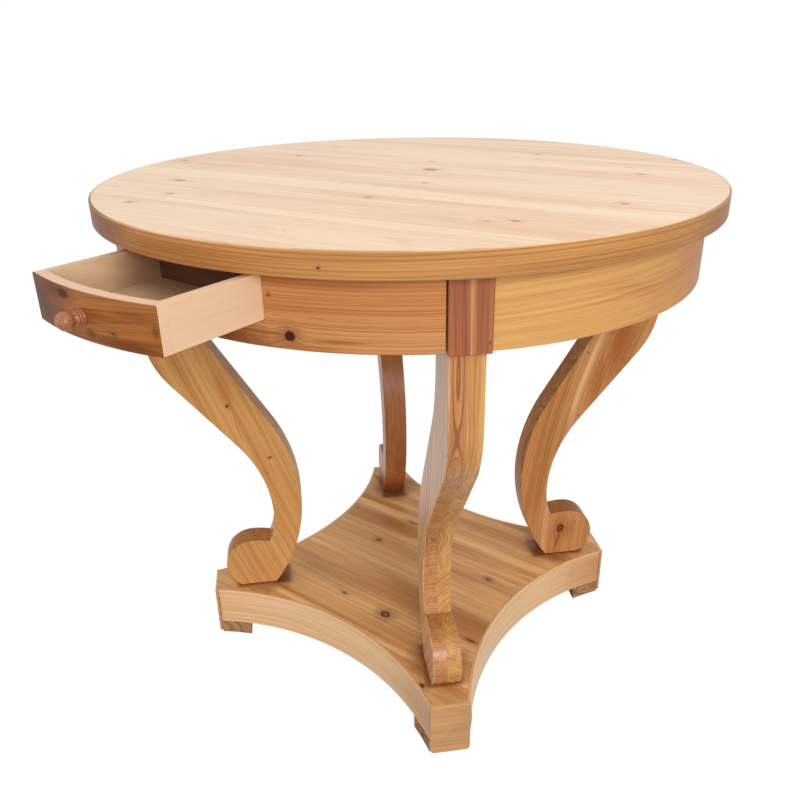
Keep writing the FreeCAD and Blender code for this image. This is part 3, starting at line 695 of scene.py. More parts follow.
def softwood_group():
    """Sawn softwood, in metres along, across and into the board.

    The grain slopes and bows across the board: across + (bow * along - slope) * along. Growth rings are
    shells round a heart line that dives and wanders: each darkens slowly and stops at once. Over them lie
    broad warm clouds, one pale sapwood stripe, stained patches with painted shade among them, a pale face
    beyond a set depth that is partly sapwood and partly painted sheen, fine fibres and the knots' masks. A
    face that cuts across the grain is darker by the share end. At the height arris across the board there is
    an edge in a colour of its own, with a line worn pale below it.
    """
    colours = {key: tone + (1.0,) for key, tone in TONES.items()}
    inputs = dict(SOFTWOOD, grain=ORIGIN, facing=ORIGIN, core=0.0, halo=0.0, stain=0.0, **colours)
    wire, given, out = new_group("Softwood", inputs, {"Color": 4, "Roughness": 1, "Height": 1})
    x, y, z = wire.split(given.grain)
    bowed = (given.bow * x - given.slope) * x + y
    far = wire.join(x + given.seed, bowed, z)
    drift_across, drift_deep, _ = wire.split(wire.figure(far, *DRIFT)[1])
    swayed = bowed + (drift_across - MEAN) * given.wander
    depth = z + (drift_deep - MEAN) * given.wander - given.heart_depth - x * given.dive
    swell = given.halo * (given.ring_width * KNOT_SWELL)
    phase = (wire.hypot(swayed - given.heart_across, depth) + swell) / given.ring_width
    uneven = wire.add("ShaderNodeTexNoise", noise_dimensions="1D")
    wire.feed(uneven.inputs["W"], phase * UNEVEN_RATE + given.seed)
    phase = phase + wire.outputs(uneven)[0] * UNEVEN_RINGS
    year = wire.add("ShaderNodeTexWhiteNoise", noise_dimensions="1D")
    wire.feed(year.inputs["W"], wire.math("FLOOR", phase))
    ring = wire.math("FRACT", phase)
    fade = wire.rise(wire.figure(far, *FADE)[0], *FADE_EDGE)
    late = wire.rise(ring, *LATE_START) * wire.fall(ring, *LATE_STOP)
    late = late * (YEAR_LEAST + wire.outputs(year)[0] * (1.0 - YEAR_LEAST))
    late = late * (FADE_LEAST + fade * (1.0 - FADE_LEAST))
    fibre = wire.figure(far, *FIBRE)[0] - MEAN
    streak = wire.rise(wire.figure(far, *STREAK)[0], *STREAK_EDGE)
    cloud = wire.rise(wire.figure(far, *CLOUD)[0], *CLOUD_EDGE)
    tilt = given.slope - given.bow * 2.0 * x
    facing_along, facing_across, _ = wire.split(given.facing)
    cut = abs(facing_across * tilt + facing_along) / wire.math("SQRT", tilt * tilt + 1.0)
    above = y - given.arris
    on_edge = wire.rise(above, *EDGE_LINE)
    worn = wire.rise(above, *WORN_LINE) * (1.0 - on_edge)
    stripe = wire.fall(abs(swayed - given.sap_across) / given.sap_width, *STRIPE_EDGE)

    shade = given.pale
    for mask, tone in (
            (cloud * given.warmth, given.warm), (on_edge, given.edge), (stripe * given.sap, given.sapwood),
            (given.stain, given.red), (wire.rise(z - given.bark, *SAPWOOD_AND_SHEEN_LINE), given.sapwood),
            (wire.rise(cut, *END_CUT) * given.end, given.dark), (late * given.contrast, given.dark),
            (streak * given.streak, given.dark)):
        shade = wire.mix(mask, shade, tone)
    shade = wire.mix(1.0, shade, 1.0 + fibre * given.fibre, "MULTIPLY")
    for mask, tone in (
            (given.halo * HALO_TINT, given.red), (worn * WORN_TINT, given.sapwood), (given.core, given.knot)):
        shade = wire.mix(mask, shade, tone)
    wire.feed(out["Color"], shade)
    wire.feed(out["Roughness"], given.polish + fibre * MATT)
    wire.feed(out["Height"], fibre + late * LATE_HEIGHT)
    return wire.tree


GROUP_MAKERS = {
    "Bent grain": bent_grain_group, "Knot": knot_group, "Seat": seat_group, "Softwood": softwood_group}
GRAIN_BUMP = 0.05
GRAIN_DEPTH = 0.3 * MM


def group(name):
    """The shader group of this name, built the first time it is asked for."""
    return bpy.data.node_groups.get(name) or GROUP_MAKERS[name]()


def shaded(rgb, factors):
    """A colour multiplied channel by channel, as a colour of four."""
    return tuple(a * b for a, b in zip(rgb, factors)) + (1.0,)


def marked(wire, grain, rows):
    """The joined masks of knots, or of stained patches and painted shade, on a board: their cores and their
    halos.

    A row is along, across and size in millimetres, stretch, strength and, for some knots, a pale eye's share.
    """
    core = halo = 0.0
    for along, across, size, *rest in rows:
        row = dict(zip(MARK, (along * MM, across * MM, size * MM, *rest)))
        mark = wire.use("Knot", grain=grain, core=core, halo=halo, **row)
        core, halo = mark.core, mark.halo
    return core, halo


def turned_rows(rows, turn):
    """Rows of marks as they lie in a frame turned by this angle."""
    cos_turn, sin_turn = math.cos(turn), math.sin(turn)
    return [(x * cos_turn + y * sin_turn, y * cos_turn - x * sin_turn, *rest) for x, y, *rest in rows]


def rows_between(rows, low, high):
    """The rows of marks that lie between these two distances across the grain."""
    return [row for row in rows if low < row[1] * MM < high]


def new_material(name):
    """A material, the wiring of its nodes and its shader."""
    material = bpy.data.materials.new(name)
    material.use_nodes = True
    return material, Wiring(material.node_tree), material.node_tree.nodes["Principled BSDF"]


def wood(
        name, rgb, origin=ORIGIN, turn=ORIGIN, bent=None, knots=(), stains=(), gloss=0.3,
        seat=False, **looks):
    """A wood material whose grain runs along the X axis of a frame at origin, turned by Euler angles.

    With bent, the grain follows an arc of that radius round the frame's Z axis. Knots, and stained patches
    with painted shade among them, are rows of marks in this frame; of a stained patch or painted shade only
    the halo shows. With seat, painted shade from the scrolls' feet darkens the board.
    Gloss is the shader's specular level. Looks are the pattern's own values: a tone of three is a share of
    rgb, and a tone of four is a colour by itself.
    """
    material, wire, shader = new_material(name)
    piece = wire.add("ShaderNodeTexCoord").outputs
    grain, facing = [
        wire.add("ShaderNodeMapping", piece[kind], start, turn, vector_type="TEXTURE").outputs[0]
        for kind, start in (("Object", origin), ("Normal", ORIGIN))]
    if bent:
        grain = wire.use("Bent grain", place=grain, radius=bent).grain
    core, halo = marked(wire, grain, knots)
    stain = marked(wire, grain, stains)[1]
    if seat:
        stain = wire.math("MAXIMUM", stain, wire.use("Seat", grain=grain).shade)
    looks = dict(TONES, **looks)
    for key in TONES:
        if len(looks[key]) == len(rgb):
            looks[key] = shaded(rgb, looks[key])
    pattern = wire.use("Softwood", grain=grain, facing=facing, core=core, halo=halo, stain=stain, **looks)
    bump = wire.add("ShaderNodeBump")
    wire.fill(bump, {"Strength": GRAIN_BUMP, "Distance": GRAIN_DEPTH, "Height": pattern.height})
    wire.fill(shader, {"Base Color": pattern.color, "Roughness": pattern.roughness, "Normal": bump.outputs[0],
                       "Specular IOR Level": gloss})
    return material


def grain_turn(along, across):
    """Euler angles of a grain frame: X along the grain, Y across it, Z square to both."""
    return tuple(Matrix(np.stack([along, across, np.cross(along, across)], axis=1).tolist()).to_euler())


TOP_GRAIN_TURN = math.radians(7.0)
TOP_KNOTS = (
    (63, 283, 4.5, 1.4, 0.55), (277, 340, 4.5, 1.4, 0.6), (313, 318, 4.0, 1.4, 0.6),
    (283, 180, 5.0, 1.4, 0.6), (-45, 126, 4.0, 1.5, 0.35), (0, 58, 8.0, 1.6, 0.75),
    (-279, 63, 4.5, 1.6, 0.6), (-301, 184, 3.5, 1.5, 0.35), (58, -42, 4.0, 1.6, 0.55),
    (346, -31, 4.5, 1.5, 0.6), (-410, -76, 5.0, 1.6, 0.6), (57, -165, 4.5, 1.5, 0.6),
    (283, -186, 4.5, 1.5, 0.55), (257, -205, 3.5, 1.5, 0.35), (-259, -211, 5.0, 2.4, 0.7),
    (-184, -288, 4.5, 1.5, 0.6), (-182, -354, 4.5, 1.5, 0.6))
TOP_PLAIN = dict(
    contrast=0.22, warmth=0.7, fibre=0.16, streak=0.16, ring_width=0.007, wander=0.05, polish=0.36)
TOP_LOOKS = (
    dict(seed=3.1, heart_across=-0.36, sap_across=-0.29, sap_width=0.02, sap=0.5),
    dict(seed=7.4, heart_across=-0.23, sap_across=-0.13, sap_width=0.03, sap=0.6),
    dict(seed=12.6, heart_across=-0.02, sap_across=-0.115, sap_width=0.02, sap=0.5),
    dict(seed=18.2, heart_across=0.15, sap_across=0.19, sap_width=0.03, sap=0.4),
    dict(seed=24.9, heart_across=0.25, sap_across=0.21, sap_width=0.02, sap=0.3),
    dict(seed=31.3, heart_across=0.42))
BAND_LOOK = dict(
    ring_width=0.0044, heart_across=-0.14, heart_depth=-0.01, wander=0.012, contrast=0.8, warmth=0.4,
    streak=0.4, seed=41.0, gloss=0.12, dark=DEEP, red=DEEP, knots=((191, -3, 1.3, 1.3, 0.9),),
    # The marks at -200 and 750 along are partly darker wood and partly painted shade, where the band turns
    # away from the lamps.
    stains=((-200, 0, 24.0, 2.4, 1.0), (0, -6, 8.0, 7.0, 0.3), (750, 0, 18.0, 2.4, 0.65)))


def top_material(number, node, rgb):
    """Pale waxed board of the top, with the knots that lie on it."""
    points = points_of(node)
    across = points[:, 1] * math.cos(TOP_GRAIN_TURN) - points[:, 0] * math.sin(TOP_GRAIN_TURN)
    knots = rows_between(turned_rows(TOP_KNOTS, TOP_GRAIN_TURN), across.min(), across.max())
    return wood(
        "Top board " + str(number), rgb, along_z(points[:, 2].max()), along_z(TOP_GRAIN_TURN), knots=knots,
        **TOP_PLAIN, **TOP_LOOKS[number - 1])


class TABLE_OT_top(bpy.types.Operator):
    """Finish the top: six edge-glued boards and the bent band round them"""

    bl_idname = "centre_table.top"
    bl_label = "Top"

    def execute(self, context):
        settings = context.scene.centre_table
        for number, node in boards("top_board_"):
            paint(node, top_material(number, node, settings.colours.top))
        low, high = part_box("top_edge_band")
        band = wood(
            "Edge band", settings.colours.band, along_z((low.z + high.z) / 2.0),
            along_z(math.radians(SIDES["front"])), bent=high.x, arris=(high.z - low.z) / 2.0,
            edge=shaded(settings.colours.top, WHITE), **BAND_LOOK)
        turned_ring("top_edge_band", band, settings.sizes.band_arris)
        return {"FINISHED"}


APRON_LOOKS = {
    "front": dict(
        tone="apron_orange", seed=51.0, heart_across=-0.006, heart_depth=-0.0095, dive=0.035, contrast=0.8,
        warmth=0.7, ring_width=0.0042, wander=0.010, streak=0.25, red=DEEP,
        knots=((135, -28, 6.6, 1.05, 1.0), (113, 16, 1.6, 1.1, 0.7)),
        # The first mark is a painted shadow of the drawer on the apron, and the one at (120, 38) painted
        # shade under the top; the thin ones are red streaks in the wood.
        stains=((45, -40, 8.0, 4.0, 1.0), (160, -40, 2.0, 9.0, 0.4), (98, -26.5, 1.0, 16.0, 0.8),
                (190, -31, 0.9, 16.0, 0.7), (190, 31, 1.8, 14.0, 0.3), (120, 38, 4.0, 6.0, 0.5))),
    "right": dict(
        tone="apron_golden", seed=57.0, heart_across=0.06, heart_depth=-0.05, slope=0.03, contrast=0.4,
        warmth=0.3, ring_width=0.005, wander=0.014, streak=0.25,
        # The broad last mark is painted shade at the board's far end, where it turns away from the lamps; the
        # thin ones are streaks in the wood.
        stains=((-110, -3, 0.8, 24.0, 0.8), (-132, 5, 0.7, 26.0, 0.7), (-90, -11, 0.7, 24.0, 0.7),
                (-150, 12, 0.6, 24.0, 0.6), (-165, -6, 0.6, 26.0, 0.5), (150, 0, 42.0, 2.2, 0.9))),
    "rear": dict(
        tone="apron_orange", seed=63.0, heart_across=0.02, heart_depth=-0.04, slope=-0.04, contrast=0.55,
        warmth=0.5, ring_width=0.006, knots=((-110, 10, 5.0, 1.2, 0.9, 0.3),)),
    "left": dict(
        tone="apron_golden", seed=69.0, heart_across=-0.05, heart_depth=-0.05, slope=0.02, contrast=0.5,
        warmth=0.5, ring_width=0.006, knots=((140, -20, 4.0, 1.2, 0.9),))}
APRON_GLOSS = 0.12
POST_LOOK = dict(
    ring_width=0.0045, heart_across=-0.05, heart_depth=-0.36, wander=0.008, contrast=0.8, warmth=0.5,
    streak=0.5, sap_across=0.004, sap_width=0.0045, sap=0.8, knots=((11, 20.6, 0.9, 1.2, 1.0),))
POST_SEED = 75.0
LEVEL_DIGITS = 5


def drawer_gap():
    """Half the width of the front apron's opening, and the height of its floor, read off the CAD node."""
    points = points_of("apron_front")
    over_drawer = np.abs(points[:, 0]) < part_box("drawer_front")[1].x + MM
    floor = np.unique(np.round(points[over_drawer, 2], LEVEL_DIGITS))[1]
    on_floor = np.abs(points[:, 2] - floor) < ON_ARC
    return np.abs(points[on_floor, 0]).max(), floor


class TABLE_OT_apron(bpy.types.Operator):
    """Finish the apron: four bent boards and the upright post at each leg"""

    bl_idname = "centre_table.apron"
    bl_label = "Apron"

    def execute(self, context):
        settings = context.scene.centre_table
        colours, arris = settings.colours, settings.sizes.board_arris
        low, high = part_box("apron_right")
        for side, looks in APRON_LOOKS.items():
            looks = dict(looks)
            towards = math.radians(SIDES[side])
            material = wood(
                "Apron " + side, getattr(colours, looks.pop("tone")), along_z((low.z + high.z) / 2.0),
                along_z(towards), bent=high.x, gloss=APRON_GLOSS, **looks)
            gap = drawer_gap() if side == "front" else None
            bent_board("apron_" + side, (0.0, 0.0), towards, material, arris, gap)
        for number, (corner, angle) in enumerate(CORNERS.items()):
            material = wood(
                "Post " + corner, colours.post, along_z(low.z), grain_turn(UP, compass(angle + 90.0)),
                seed=POST_SEED + number, sapwood=shaded(colours.apron_golden, WHITE), **POST_LOOK)
            eased_copy("post_" + corner, material, arris)
        return {"FINISHED"}


DRAWER_FACING_LOOK = dict(
    ring_width=0.007, heart_across=0.0, heart_depth=-0.015, slope=0.06, wander=0.12, contrast=0.6, warmth=0.6,
    streak=0.6, seed=83.0, dark=DEEP, red=STAINED, gloss=0.1,
    knots=((-31, 18, 5.0, 2.2, 0.9), (45, -10, 1.6, 2.5, 0.6)),
    stains=((-65, 19, 7.0, 2.6, 0.85), (-98, -2, 21.0, 1.3, 1.0), (10, -17, 2.4, 1.6, 0.7),
            (65, -22, 3.5, 6.0, 0.75), (101, 0, 3.5, 0.6, 0.6), (30, 5, 2.0, 9.0, 0.45),
            (75, 12, 2.5, 5.0, 0.4)))
DRAWER_PLAIN = dict(contrast=0.06, warmth=0.10, fibre=0.08, streak=0.06, polish=0.5)
# Painted shade: the far side and the bottom darken towards the apron, where the top shades the open drawer.
DRAWER_FAR_SIDE = dict(DRAWER_PLAIN, red=SHADY, stains=((-395, 722, 27.0, 1.0, 0.9),))
DRAWER_BOTTOM = dict(DRAWER_PLAIN, red=SHADY, seed=9.0, stains=((0, -390, 22.0, 3.0, 0.75),))
DRAWER_BACK_SEED = 5.0
KNOB_LOOK = dict(ring_width=0.002, heart_depth=-0.01, wander=0.006, contrast=0.6, warmth=0.5, polish=0.3)


class TABLE_OT_drawer(bpy.types.Operator):
    """Finish the drawer: plain pale box, figured bent facing and turned knob"""

    bl_idname = "centre_table.drawer"
    bl_label = "Drawer"

    def execute(self, context):
        settings = context.scene.centre_table
        colours, sizes = settings.colours, settings.sizes
        closed = -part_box("apron_front")[0].y
        low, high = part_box("drawer_facing")
        centre = (0.0, low.y + closed)
        towards = math.radians(SIDES["front"])
        for node, rgb, looks in (("drawer_facing", colours.drawer_facing, DRAWER_FACING_LOOK),
                                 ("drawer_front", colours.drawer_box, DRAWER_PLAIN)):
            material = wood(
                node.replace("_", " ").capitalize(), rgb, (*centre, (low.z + high.z) / 2.0), along_z(towards),
                bent=closed, **looks)
            bent_board(node, centre, towards, material, sizes.facing_arris)
        lengthways, crossways = grain_turn(compass(90.0), UP), grain_turn(compass(0.0), UP)
        near_side = wood("Drawer sides", colours.drawer_box, turn=lengthways, **DRAWER_PLAIN)
        # The far side and the bottom take the darker inner tone: painted shade inside the drawer.
        far_side = wood("Drawer far side", colours.drawer_inside, turn=lengthways, **DRAWER_FAR_SIDE)
        # The back board's dark tone is painted shade, in place of the top's shadow.
        back = wood("Drawer back", colours.drawer_back, turn=crossways, seed=DRAWER_BACK_SEED)
        bottom = wood("Drawer bottom", colours.drawer_inside, **DRAWER_BOTTOM)
        for node, material in (("drawer_side_right", near_side), ("drawer_side_left", far_side),
                               ("drawer_back", back)):
            eased_copy(node, material, sizes.drawer_arris)
        paint("drawer_bottom", bottom)
        knob = wood(
            "Knob", colours.knob, along_z(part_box("drawer_knob")[0].z), along_z(math.pi / 2.0), **KNOB_LOOK)
        turned_knob("drawer_knob", knob)
        return {"FINISHED"}


LEG_LEAN = math.radians(12.0)
LEG_PLAIN = dict(
    slope=0.32, bow=0.4, ring_width=0.005, wander=0.02, contrast=0.75, warmth=0.5, streak=0.4, polish=0.34,
    gloss=0.2, end=0.55, dark=DEEP)
FRONT_LEG = dict(slope=-0.621, bow=-0.6, contrast=1.0, end=0.12)
REAR_LEG = dict(
    tone="leg_red", contrast=0.5, red=DEEP, stains=((215, 220, 24.0, 2.6, 0.3), (236, 100, 16.0, 1.4, 0.8)))
LEG_LOOKS = {
    # Past a set depth this ply's broad face is painted pale: partly sapwood, partly painted sheen and light
    # on a face seen at a grazing angle.
    "leg_front_right_ply_a": dict(
        FRONT_LEG, tone="leg_brown", seed=91.0, heart_across=-0.124, heart_depth=0.0105, ring_width=0.0034,
        wander=0.006, bark=20.5 * MM, gloss=0.4),
    "leg_front_right_ply_b": dict(
        FRONT_LEG, tone="leg_golden", seed=93.0, heart_across=-0.120, heart_depth=-0.03, ring_width=0.0038,
        wander=0.008),
    "leg_front_left_ply_a": dict(
        tone="leg_golden", seed=95.0, heart_across=-0.13, heart_depth=0.02, gloss=0.05),
    "leg_front_left_ply_b": dict(
        tone="leg_golden", seed=97.0, heart_across=-0.02, heart_depth=-0.02, slope=-0.14, bow=0.0,
        contrast=0.5, gloss=0.05,
        knots=((297, 438, 2.4, 1.2, 0.95), (238, 340, 3.6, 0.6, 0.8), (245, 312, 1.6, 1.2, 0.4)),
        stains=((284, 398, 0.5, 26.0, 0.8), (300, 470, 5.0, 3.0, 0.5))),
    "leg_rear_right_ply_a": dict(
        tone="leg_brown", seed=99.0, heart_across=-0.12, heart_depth=0.02, warmth=0.6, gloss=0.05,
        sap_across=-0.255, sap_width=0.009, sap=0.7,
        knots=((270.6, 145, 6.8, 1.3, 0.95, 0.8), (266, 119, 0.9, 26.0, 0.9), (294, 487, 1.0, 1.2, 0.9),
               (286, 373, 1.3, 1.2, 0.7), (216, 343, 1.0, 1.2, 0.7), (298, 157, 1.0, 1.2, 0.6)),
        stains=((352, 515, 9.0, 4.0, 0.95), (316, 440, 5.0, 5.0, 0.7), (340, 600, 16.0, 2.0, 0.6),
                (262, 330, 4.0, 6.0, 0.5), (275, 140, 9.0, 1.2, 0.6))),
    "leg_rear_right_ply_b": dict(
        tone="leg_brown", seed=101.0, heart_across=-0.14, heart_depth=-0.02, gloss=0.05),
    "leg_rear_left_ply_a": dict(REAR_LEG, seed=103.0, heart_across=-0.28, heart_depth=0.05),
    "leg_rear_left_ply_b": dict(REAR_LEG, seed=105.0, heart_across=-0.25, heart_depth=-0.05)}


def leg_grain(corner):
    """The grain frame of a leg: up the plank, which leans out, then inwards, then against the tangent."""
    radial = compass(corner)
    along = math.cos(LEG_LEAN) * UP + math.sin(LEG_LEAN) * radial
    return grain_turn(along, math.sin(LEG_LEAN) * UP - math.cos(LEG_LEAN) * radial)


def leg_rows(rows):
    """Marks on a leg's broad face, from rows that start with distance to the table's axis and height."""
    return turned_rows([(height, -reach, *rest) for reach, height, *rest in rows], -LEG_LEAN)


class TABLE_OT_legs(bpy.types.Operator):
    """Finish the four scroll legs, each of two plies"""

    bl_idname = "centre_table.legs"
    bl_label = "Scroll legs"

    def execute(self, context):
        settings = context.scene.centre_table
        # The sapwood tone also paints sheen on the front leg's broad face.
        sapwood = shaded(settings.colours.leg_sapwood, WHITE)
        for corner, angle in CORNERS.items():
            for ply, hand in (("a", -1.0), ("b", 1.0)):
                node = "leg_" + corner + "_ply_" + ply
                looks = dict(LEG_PLAIN, **LEG_LOOKS[node])
                looks.update({kind: leg_rows(looks.get(kind, ())) for kind in ("knots", "stains")})
                rgb = getattr(settings.colours, looks.pop("tone"))
                material = wood(
                    node.replace("_", " ").capitalize(), rgb, turn=leg_grain(angle), sapwood=sapwood, **looks)
                leg_ply(node, tuple(hand * compass(angle + 90.0)), material, settings.sizes.leg_arris)
        return {"FINISHED"}


PLINTH_KNOTS = (
    (-90, 15, 4.5, 1.2, 0.8), (143, 33, 5.0, 1.2, 0.7, 0.7), (51, -147, 8.0, 1.2, 1.0, 0.5),
    (192, -242, 4.5, 1.3, 0.9), (-70, 100, 5.0, 2.6, 0.5), (-40, -144, 2.6, 2.2, 0.7),
    (200, -118, 2.4, 4.0, 0.8))
# The first four marks are painted contact shade round the scrolls' feet; the others are darker patches in the
# boards.
PLINTH_STAINS_AND_SHADE = (
    (185, -185, 19.0, 1.0, 1.0), (-185, -185, 19.0, 1.0, 1.0), (185, 185, 19.0, 1.0, 1.0),
    (-185, 185, 19.0, 1.0, 1.0), (240, -240, 14.0, 1.2, 0.35), (-100, -120, 12.0, 4.0, 0.25),
    (90, -60, 10.0, 5.0, 0.2), (170, -60, 9.0, 4.0, 0.25))
PLINTH_LOOK = dict(
    heart_depth=-0.05, ring_width=0.006, wander=0.05, streak=0.5, contrast=0.3, warmth=1.0, warm=BROWN,
    red=PAINTED_SHADE_AND_STAIN_TONE, sap_width=0.016, sap=0.9, polish=0.4, seat=True, stains=PLINTH_STAINS_AND_SHADE)
PLINTH_SEED, PLINTH_SEED_STEP = 110.0, 4.0
PLINTH_HEART, PLINTH_SAP = 20.0 * MM, 8.0 * MM
FACING_LOOK = dict(
    ring_width=0.006, heart_across=0.05, heart_depth=-0.06, wander=0.03, contrast=0.4, warmth=0.5, streak=0.2,
    # The marks darken one end of each facing: partly darker wood, partly painted shade where the facing turns
    # away from the lamps.
    fibre=0.25, red=TAN, stains=((-290, 0, 26.0, 2.4, 1.0), (-300, -24, 6.0, 3.0, 0.9)))
FACING_SEED, FACING_SEED_STEP = 131.0, 3.0
SEAM = (26.0, 0.06, 0.75)
CAP_LOOK = dict(
    ring_width=0.007, heart_across=0.02, heart_depth=-0.28, wander=0.03, contrast=0.4, warmth=0.35,
    seed=151.0)
FOOT_LOOK = dict(
    ring_width=0.0048, heart_across=0.012, heart_depth=0.03, wander=0.02, contrast=1.0, warmth=0.5,
    polish=0.6, gloss=0.1, dark=STAINED, end=0.2)
FOOT_SEED = 160.0


def plinth_material(number, node, rgb):
    """Board of the plinth's floor, with its knots and a pale streak beside its joint."""
    low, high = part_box(node)
    return wood(
        "Plinth board " + str(number), rgb, along_z(high.z), knots=rows_between(PLINTH_KNOTS, low.y, high.y),
        seed=PLINTH_SEED + PLINTH_SEED_STEP * number, heart_across=(low.y + high.y) / 2.0 + PLINTH_HEART,
        sap_across=high.y - PLINTH_SAP, **PLINTH_LOOK)


class TABLE_OT_plinth(bpy.types.Operator):
    """Finish the plinth: boards, concave facings, corner caps and feet"""

    bl_idname = "centre_table.plinth"
    bl_label = "Plinth"

    def execute(self, context):
        settings = context.scene.centre_table
        colours, sizes = settings.colours, settings.sizes
        for number, node in boards("plinth_board_"):
            paint(node, plinth_material(number, node, colours.plinth))
        low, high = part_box("plinth_facing_right")
        corner_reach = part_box("plinth_corner_caps")[1].x
        corner_half = corner_reach - sizes.plinth_cant / math.sqrt(2.0)
        waist = low.x + sizes.plinth_facing
        rise = corner_reach - waist
        arc = (corner_half ** 2 + rise ** 2) / (2.0 * rise)
        seam = (arc * math.asin(corner_half / arc) - sizes.plinth_facing) / MM
        worn = shaded(colours.facing, WORN)
        for number, (side, angle) in enumerate(SIDES.items()):
            outwards = math.radians(angle)
            centre = ((waist + arc) * math.cos(outwards), (waist + arc) * math.sin(outwards))
            towards = outwards + math.pi
            material = wood(
                "Plinth facing " + side, colours.facing, (*centre, (low.z + high.z) / 2.0), along_z(towards),
                bent=arc, seed=FACING_SEED + FACING_SEED_STEP * number, arris=(high.z - low.z) / 2.0,
                edge=worn, knots=((-seam, 0.0, *SEAM), (seam, 0.0, *SEAM)), **FACING_LOOK)
            bent_board("plinth_facing_" + side, centre, towards, material, sizes.board_arris)
        cap = wood(
            "Corner caps", colours.cap, turn=grain_turn(compass(CORNERS["rear_right"]), UP), arris=high.z,
            edge=worn, **CAP_LOOK)
        corner_caps("plinth_corner_caps", sizes.cap_round, cap, sizes.board_arris)
        for corner, angle in CORNERS.items():
            foot = wood(
                "Foot " + corner, colours.foot, turn=grain_turn(compass(angle), UP), seed=FOOT_SEED + angle,
                **FOOT_LOOK)
            eased_copy("foot_" + corner, foot, sizes.board_arris)
        return {"FINISHED"}


TURNING_MARKS = (300.0, 300.0, 3000.0)
STEEL_SMOOTH, STEEL_SPAN = 0.25, 0.3
INNER_LOOK = dict(contrast=0.5, warmth=0.3, polish=0.7)
INNER_SEED, INNER_SEED_STEP = 170.0, 3.0
INNER_HEADINGS = {
    "top_bearer_a": 45.0, "top_bearer_b": 135.0, "plinth_bearer_a": 45.0, "plinth_bearer_b": 135.0,
    "drawer_runner_right": 90.0, "drawer_runner_left": 90.0, "drawer_stop_rail": 0.0}
SCREWS = ("bearer_screws", "runner_screws", "leg_screws", "foot_screws", "knob_screw")


def steel(name, rgb):
    """Plain screw steel with fine turning marks."""
    material, wire, shader = new_material(name)
    marks = wire.noise(wire.stretch(wire.add("ShaderNodeTexCoord").outputs["Object"], TURNING_MARKS))[0]
    wire.fill(shader, {"Base Color": shaded(rgb, WHITE), "Roughness": STEEL_SMOOTH + marks * STEEL_SPAN,
                       "Metallic": 1.0})
    return material


class TABLE_OT_inner_work(bpy.types.Operator):
    """Finish what is out of sight: bearers, runners, stop rail and screws"""

    bl_idname = "centre_table.inner_work"
    bl_label = "Inner work"

    def execute(self, context):
        colours = context.scene.centre_table.colours
        for number, (node, angle) in enumerate(INNER_HEADINGS.items()):
            paint(node, wood(
                node.replace("_", " ").capitalize(), colours.inner, along_z(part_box(node)[0].z),
                along_z(math.radians(angle)), seed=INNER_SEED + INNER_SEED_STEP * number, **INNER_LOOK))
        screw_steel = steel("Screw steel", colours.steel)
        for node in SCREWS:
            paint(node, screw_steel)
        return {"FINISHED"}


FLOOR_REACH = 20.0
FLOOR_CORNERS = ((-1, -1), (1, -1), (1, 1), (-1, 1))
FLOOR_DROP = 0.2 * MM
FLOOR_LEVEL = 0.5
SHADOW_NEAR, SHADOW_FAR = 0.6, 1.8
LAMP_AIM = (0.0, 0.0, 0.45)
LAMPS = {
    "key": (1.6, (2.5, -2.1, 1.75)), "front": (2.2, (-1.7, -2.6, 1.2)), "overhead": (2.4, (0.5, 0.3, 3.0))}
SENSOR_WIDTH = 36.0


def floor_material(stage):
    """Pale floor: white from above, apart from the table's shadow near itself, and clear from below."""
    material, wire, shader = new_material("Pale floor")
    nodes = material.node_tree.nodes
    nodes.remove(shader)
    x, y, _ = wire.split(wire.add("ShaderNodeTexCoord").outputs["Object"])
    taken = wire.fall(wire.hypot(x, y), SHADOW_NEAR, SHADOW_FAR) * stage.floor_shadow
    lit = wire.add("ShaderNodeBsdfDiffuse", taken)
    glow = wire.add("ShaderNodeEmission", shaded(WHITE, WHITE), 1.0 - taken * FLOOR_LEVEL)
    seen = wire.add("ShaderNodeAddShader", lit.outputs[0], glow.outputs[0])
    plain = wire.add("ShaderNodeBsdfDiffuse", (stage.floor_tone,) * 3 + (1.0,))
    choice = wire.add("ShaderNodeMixShader", seen_directly(wire), plain.outputs[0], seen.outputs[0])
    clear = wire.add("ShaderNodeBsdfTransparent")
    from_below = wire.add("ShaderNodeNewGeometry").outputs["Backfacing"]
    open_below = wire.add("ShaderNodeMixShader", from_below, choice.outputs[0], clear.outputs[0])
    wire.feed(nodes["Material Output"].inputs["Surface"], open_below.outputs[0])
    return material


def seen_directly(wire):
    """1 for rays from the camera, in a reflection or through glass, and 0 for light that bounces."""
    path = wire.add("ShaderNodeLightPath").outputs
    either = wire.math("MAXIMUM", path["Is Camera Ray"], path["Is Glossy Ray"])
    return wire.math("MAXIMUM", either, path["Is Transmission Ray"])


def soft_lamp(name, watts, size, location):
    """A large square lamp that points at the middle of the table."""
    lamp = bpy.data.lights.new(name, "AREA")
    lamp.energy = watts
    lamp.size = size
    holder = bpy.data.objects.new(name, lamp)
    bpy.context.scene.collection.objects.link(holder)
    x, y, z = np.array(location) - np.array(LAMP_AIM)
    holder.location = location
    holder.rotation_euler = (math.atan2(math.hypot(x, y), z), 0.0, math.atan2(x, -y))


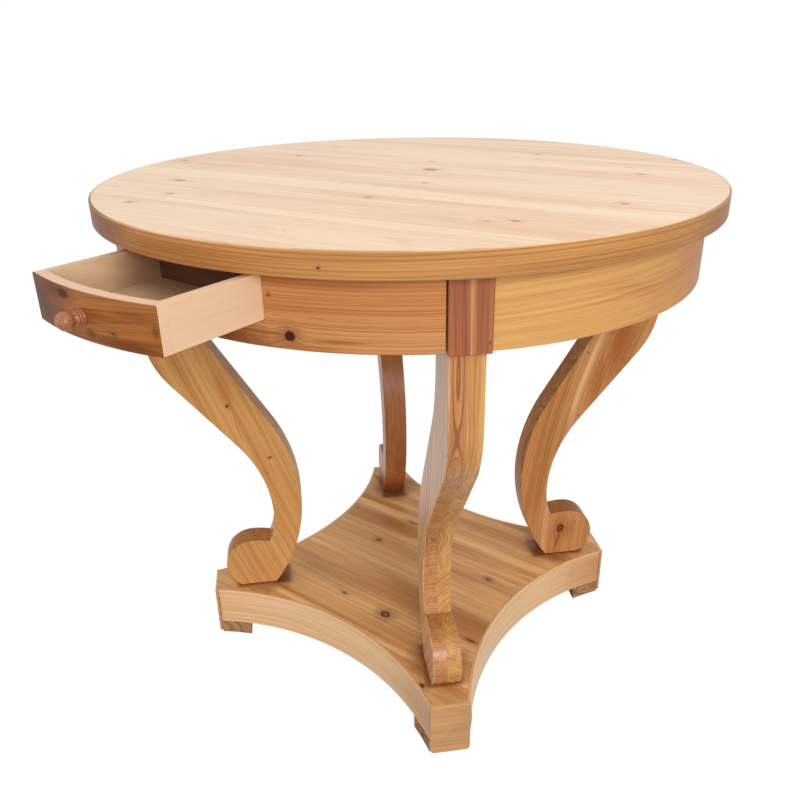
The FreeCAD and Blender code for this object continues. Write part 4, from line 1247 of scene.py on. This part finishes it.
class TABLE_OT_stage(bpy.types.Operator):
    """Set the floor, the even white surroundings, three soft lamps and the camera"""

    bl_idname = "centre_table.stage"
    bl_label = "Stage"

    def execute(self, context):
        scene = context.scene
        stage = scene.centre_table.stage
        mesh = bpy.data.meshes.new("Floor")
        corners = [(FLOOR_REACH * x, FLOOR_REACH * y, -FLOOR_DROP) for x, y in FLOOR_CORNERS]
        mesh.from_pydata(corners, [], [(0, 1, 2, 3)])
        mesh.materials.append(floor_material(stage))
        floor = bpy.data.objects.new("Floor", mesh)
        scene.collection.objects.link(floor)

        scene.world = scene.world or bpy.data.worlds.new("Surroundings")
        scene.world.use_nodes = True
        wire = Wiring(scene.world.node_tree)
        level = wire.add("ShaderNodeMapRange", seen_directly(wire), 0.0, 1.0, stage.sky, 1.0)
        background = scene.world.node_tree.nodes["Background"]
        wire.fill(background, {"Color": shaded(WHITE, WHITE), "Strength": level.outputs[0]})

        for setting, (size, location) in LAMPS.items():
            soft_lamp(setting.capitalize() + " lamp", getattr(stage, setting), size, location)

        lens = bpy.data.cameras.new("Camera")
        lens.lens = stage.lens
        lens.sensor_width = SENSOR_WIDTH
        camera = bpy.data.objects.new("Camera", lens)
        scene.collection.objects.link(camera)
        heading, tilt, roll = stage.camera_turn
        camera.matrix_world = (
            Matrix.Translation(stage.camera_place) @ Matrix.Rotation(heading, 4, "Z")
            @ Matrix.Rotation(tilt, 4, "X") @ Matrix.Rotation(roll, 4, "Z"))
        scene.camera = camera
        scene.view_settings.view_transform = "Standard"
        return {"FINISHED"}


OPERATORS = (
    TABLE_OT_top, TABLE_OT_apron, TABLE_OT_drawer, TABLE_OT_legs, TABLE_OT_plinth, TABLE_OT_inner_work,
    TABLE_OT_stage)


class TABLE_PT_panel(bpy.types.Panel):
    """Steps of dressing the table"""

    bl_idname = "TABLE_PT_panel"
    bl_label = "Round centre table"
    bl_space_type = "VIEW_3D"
    bl_region_type = "UI"
    bl_category = "Table"

    def draw(self, context):
        for operator in OPERATORS:
            self.layout.operator(operator.bl_idname)


CLASSES = (TableSizes, TableColours, StageSettings, CentreTable) + OPERATORS + (TABLE_PT_panel,)


def register():
    """Make the settings, the steps and their panel known."""
    for kind in CLASSES:
        bpy.utils.register_class(kind)
    bpy.types.Scene.centre_table = bpy.props.PointerProperty(type=CentreTable)


def unregister():
    """Take them away again."""
    del bpy.types.Scene.centre_table
    for kind in reversed(CLASSES):
        bpy.utils.unregister_class(kind)


def main():
    """Dress the table step by step."""
    register()
    steps = bpy.ops.centre_table
    for step in (
            steps.top, steps.apron, steps.drawer, steps.legs, steps.plinth, steps.inner_work, steps.stage):
        step()


if __name__ == "__main__":
    main()
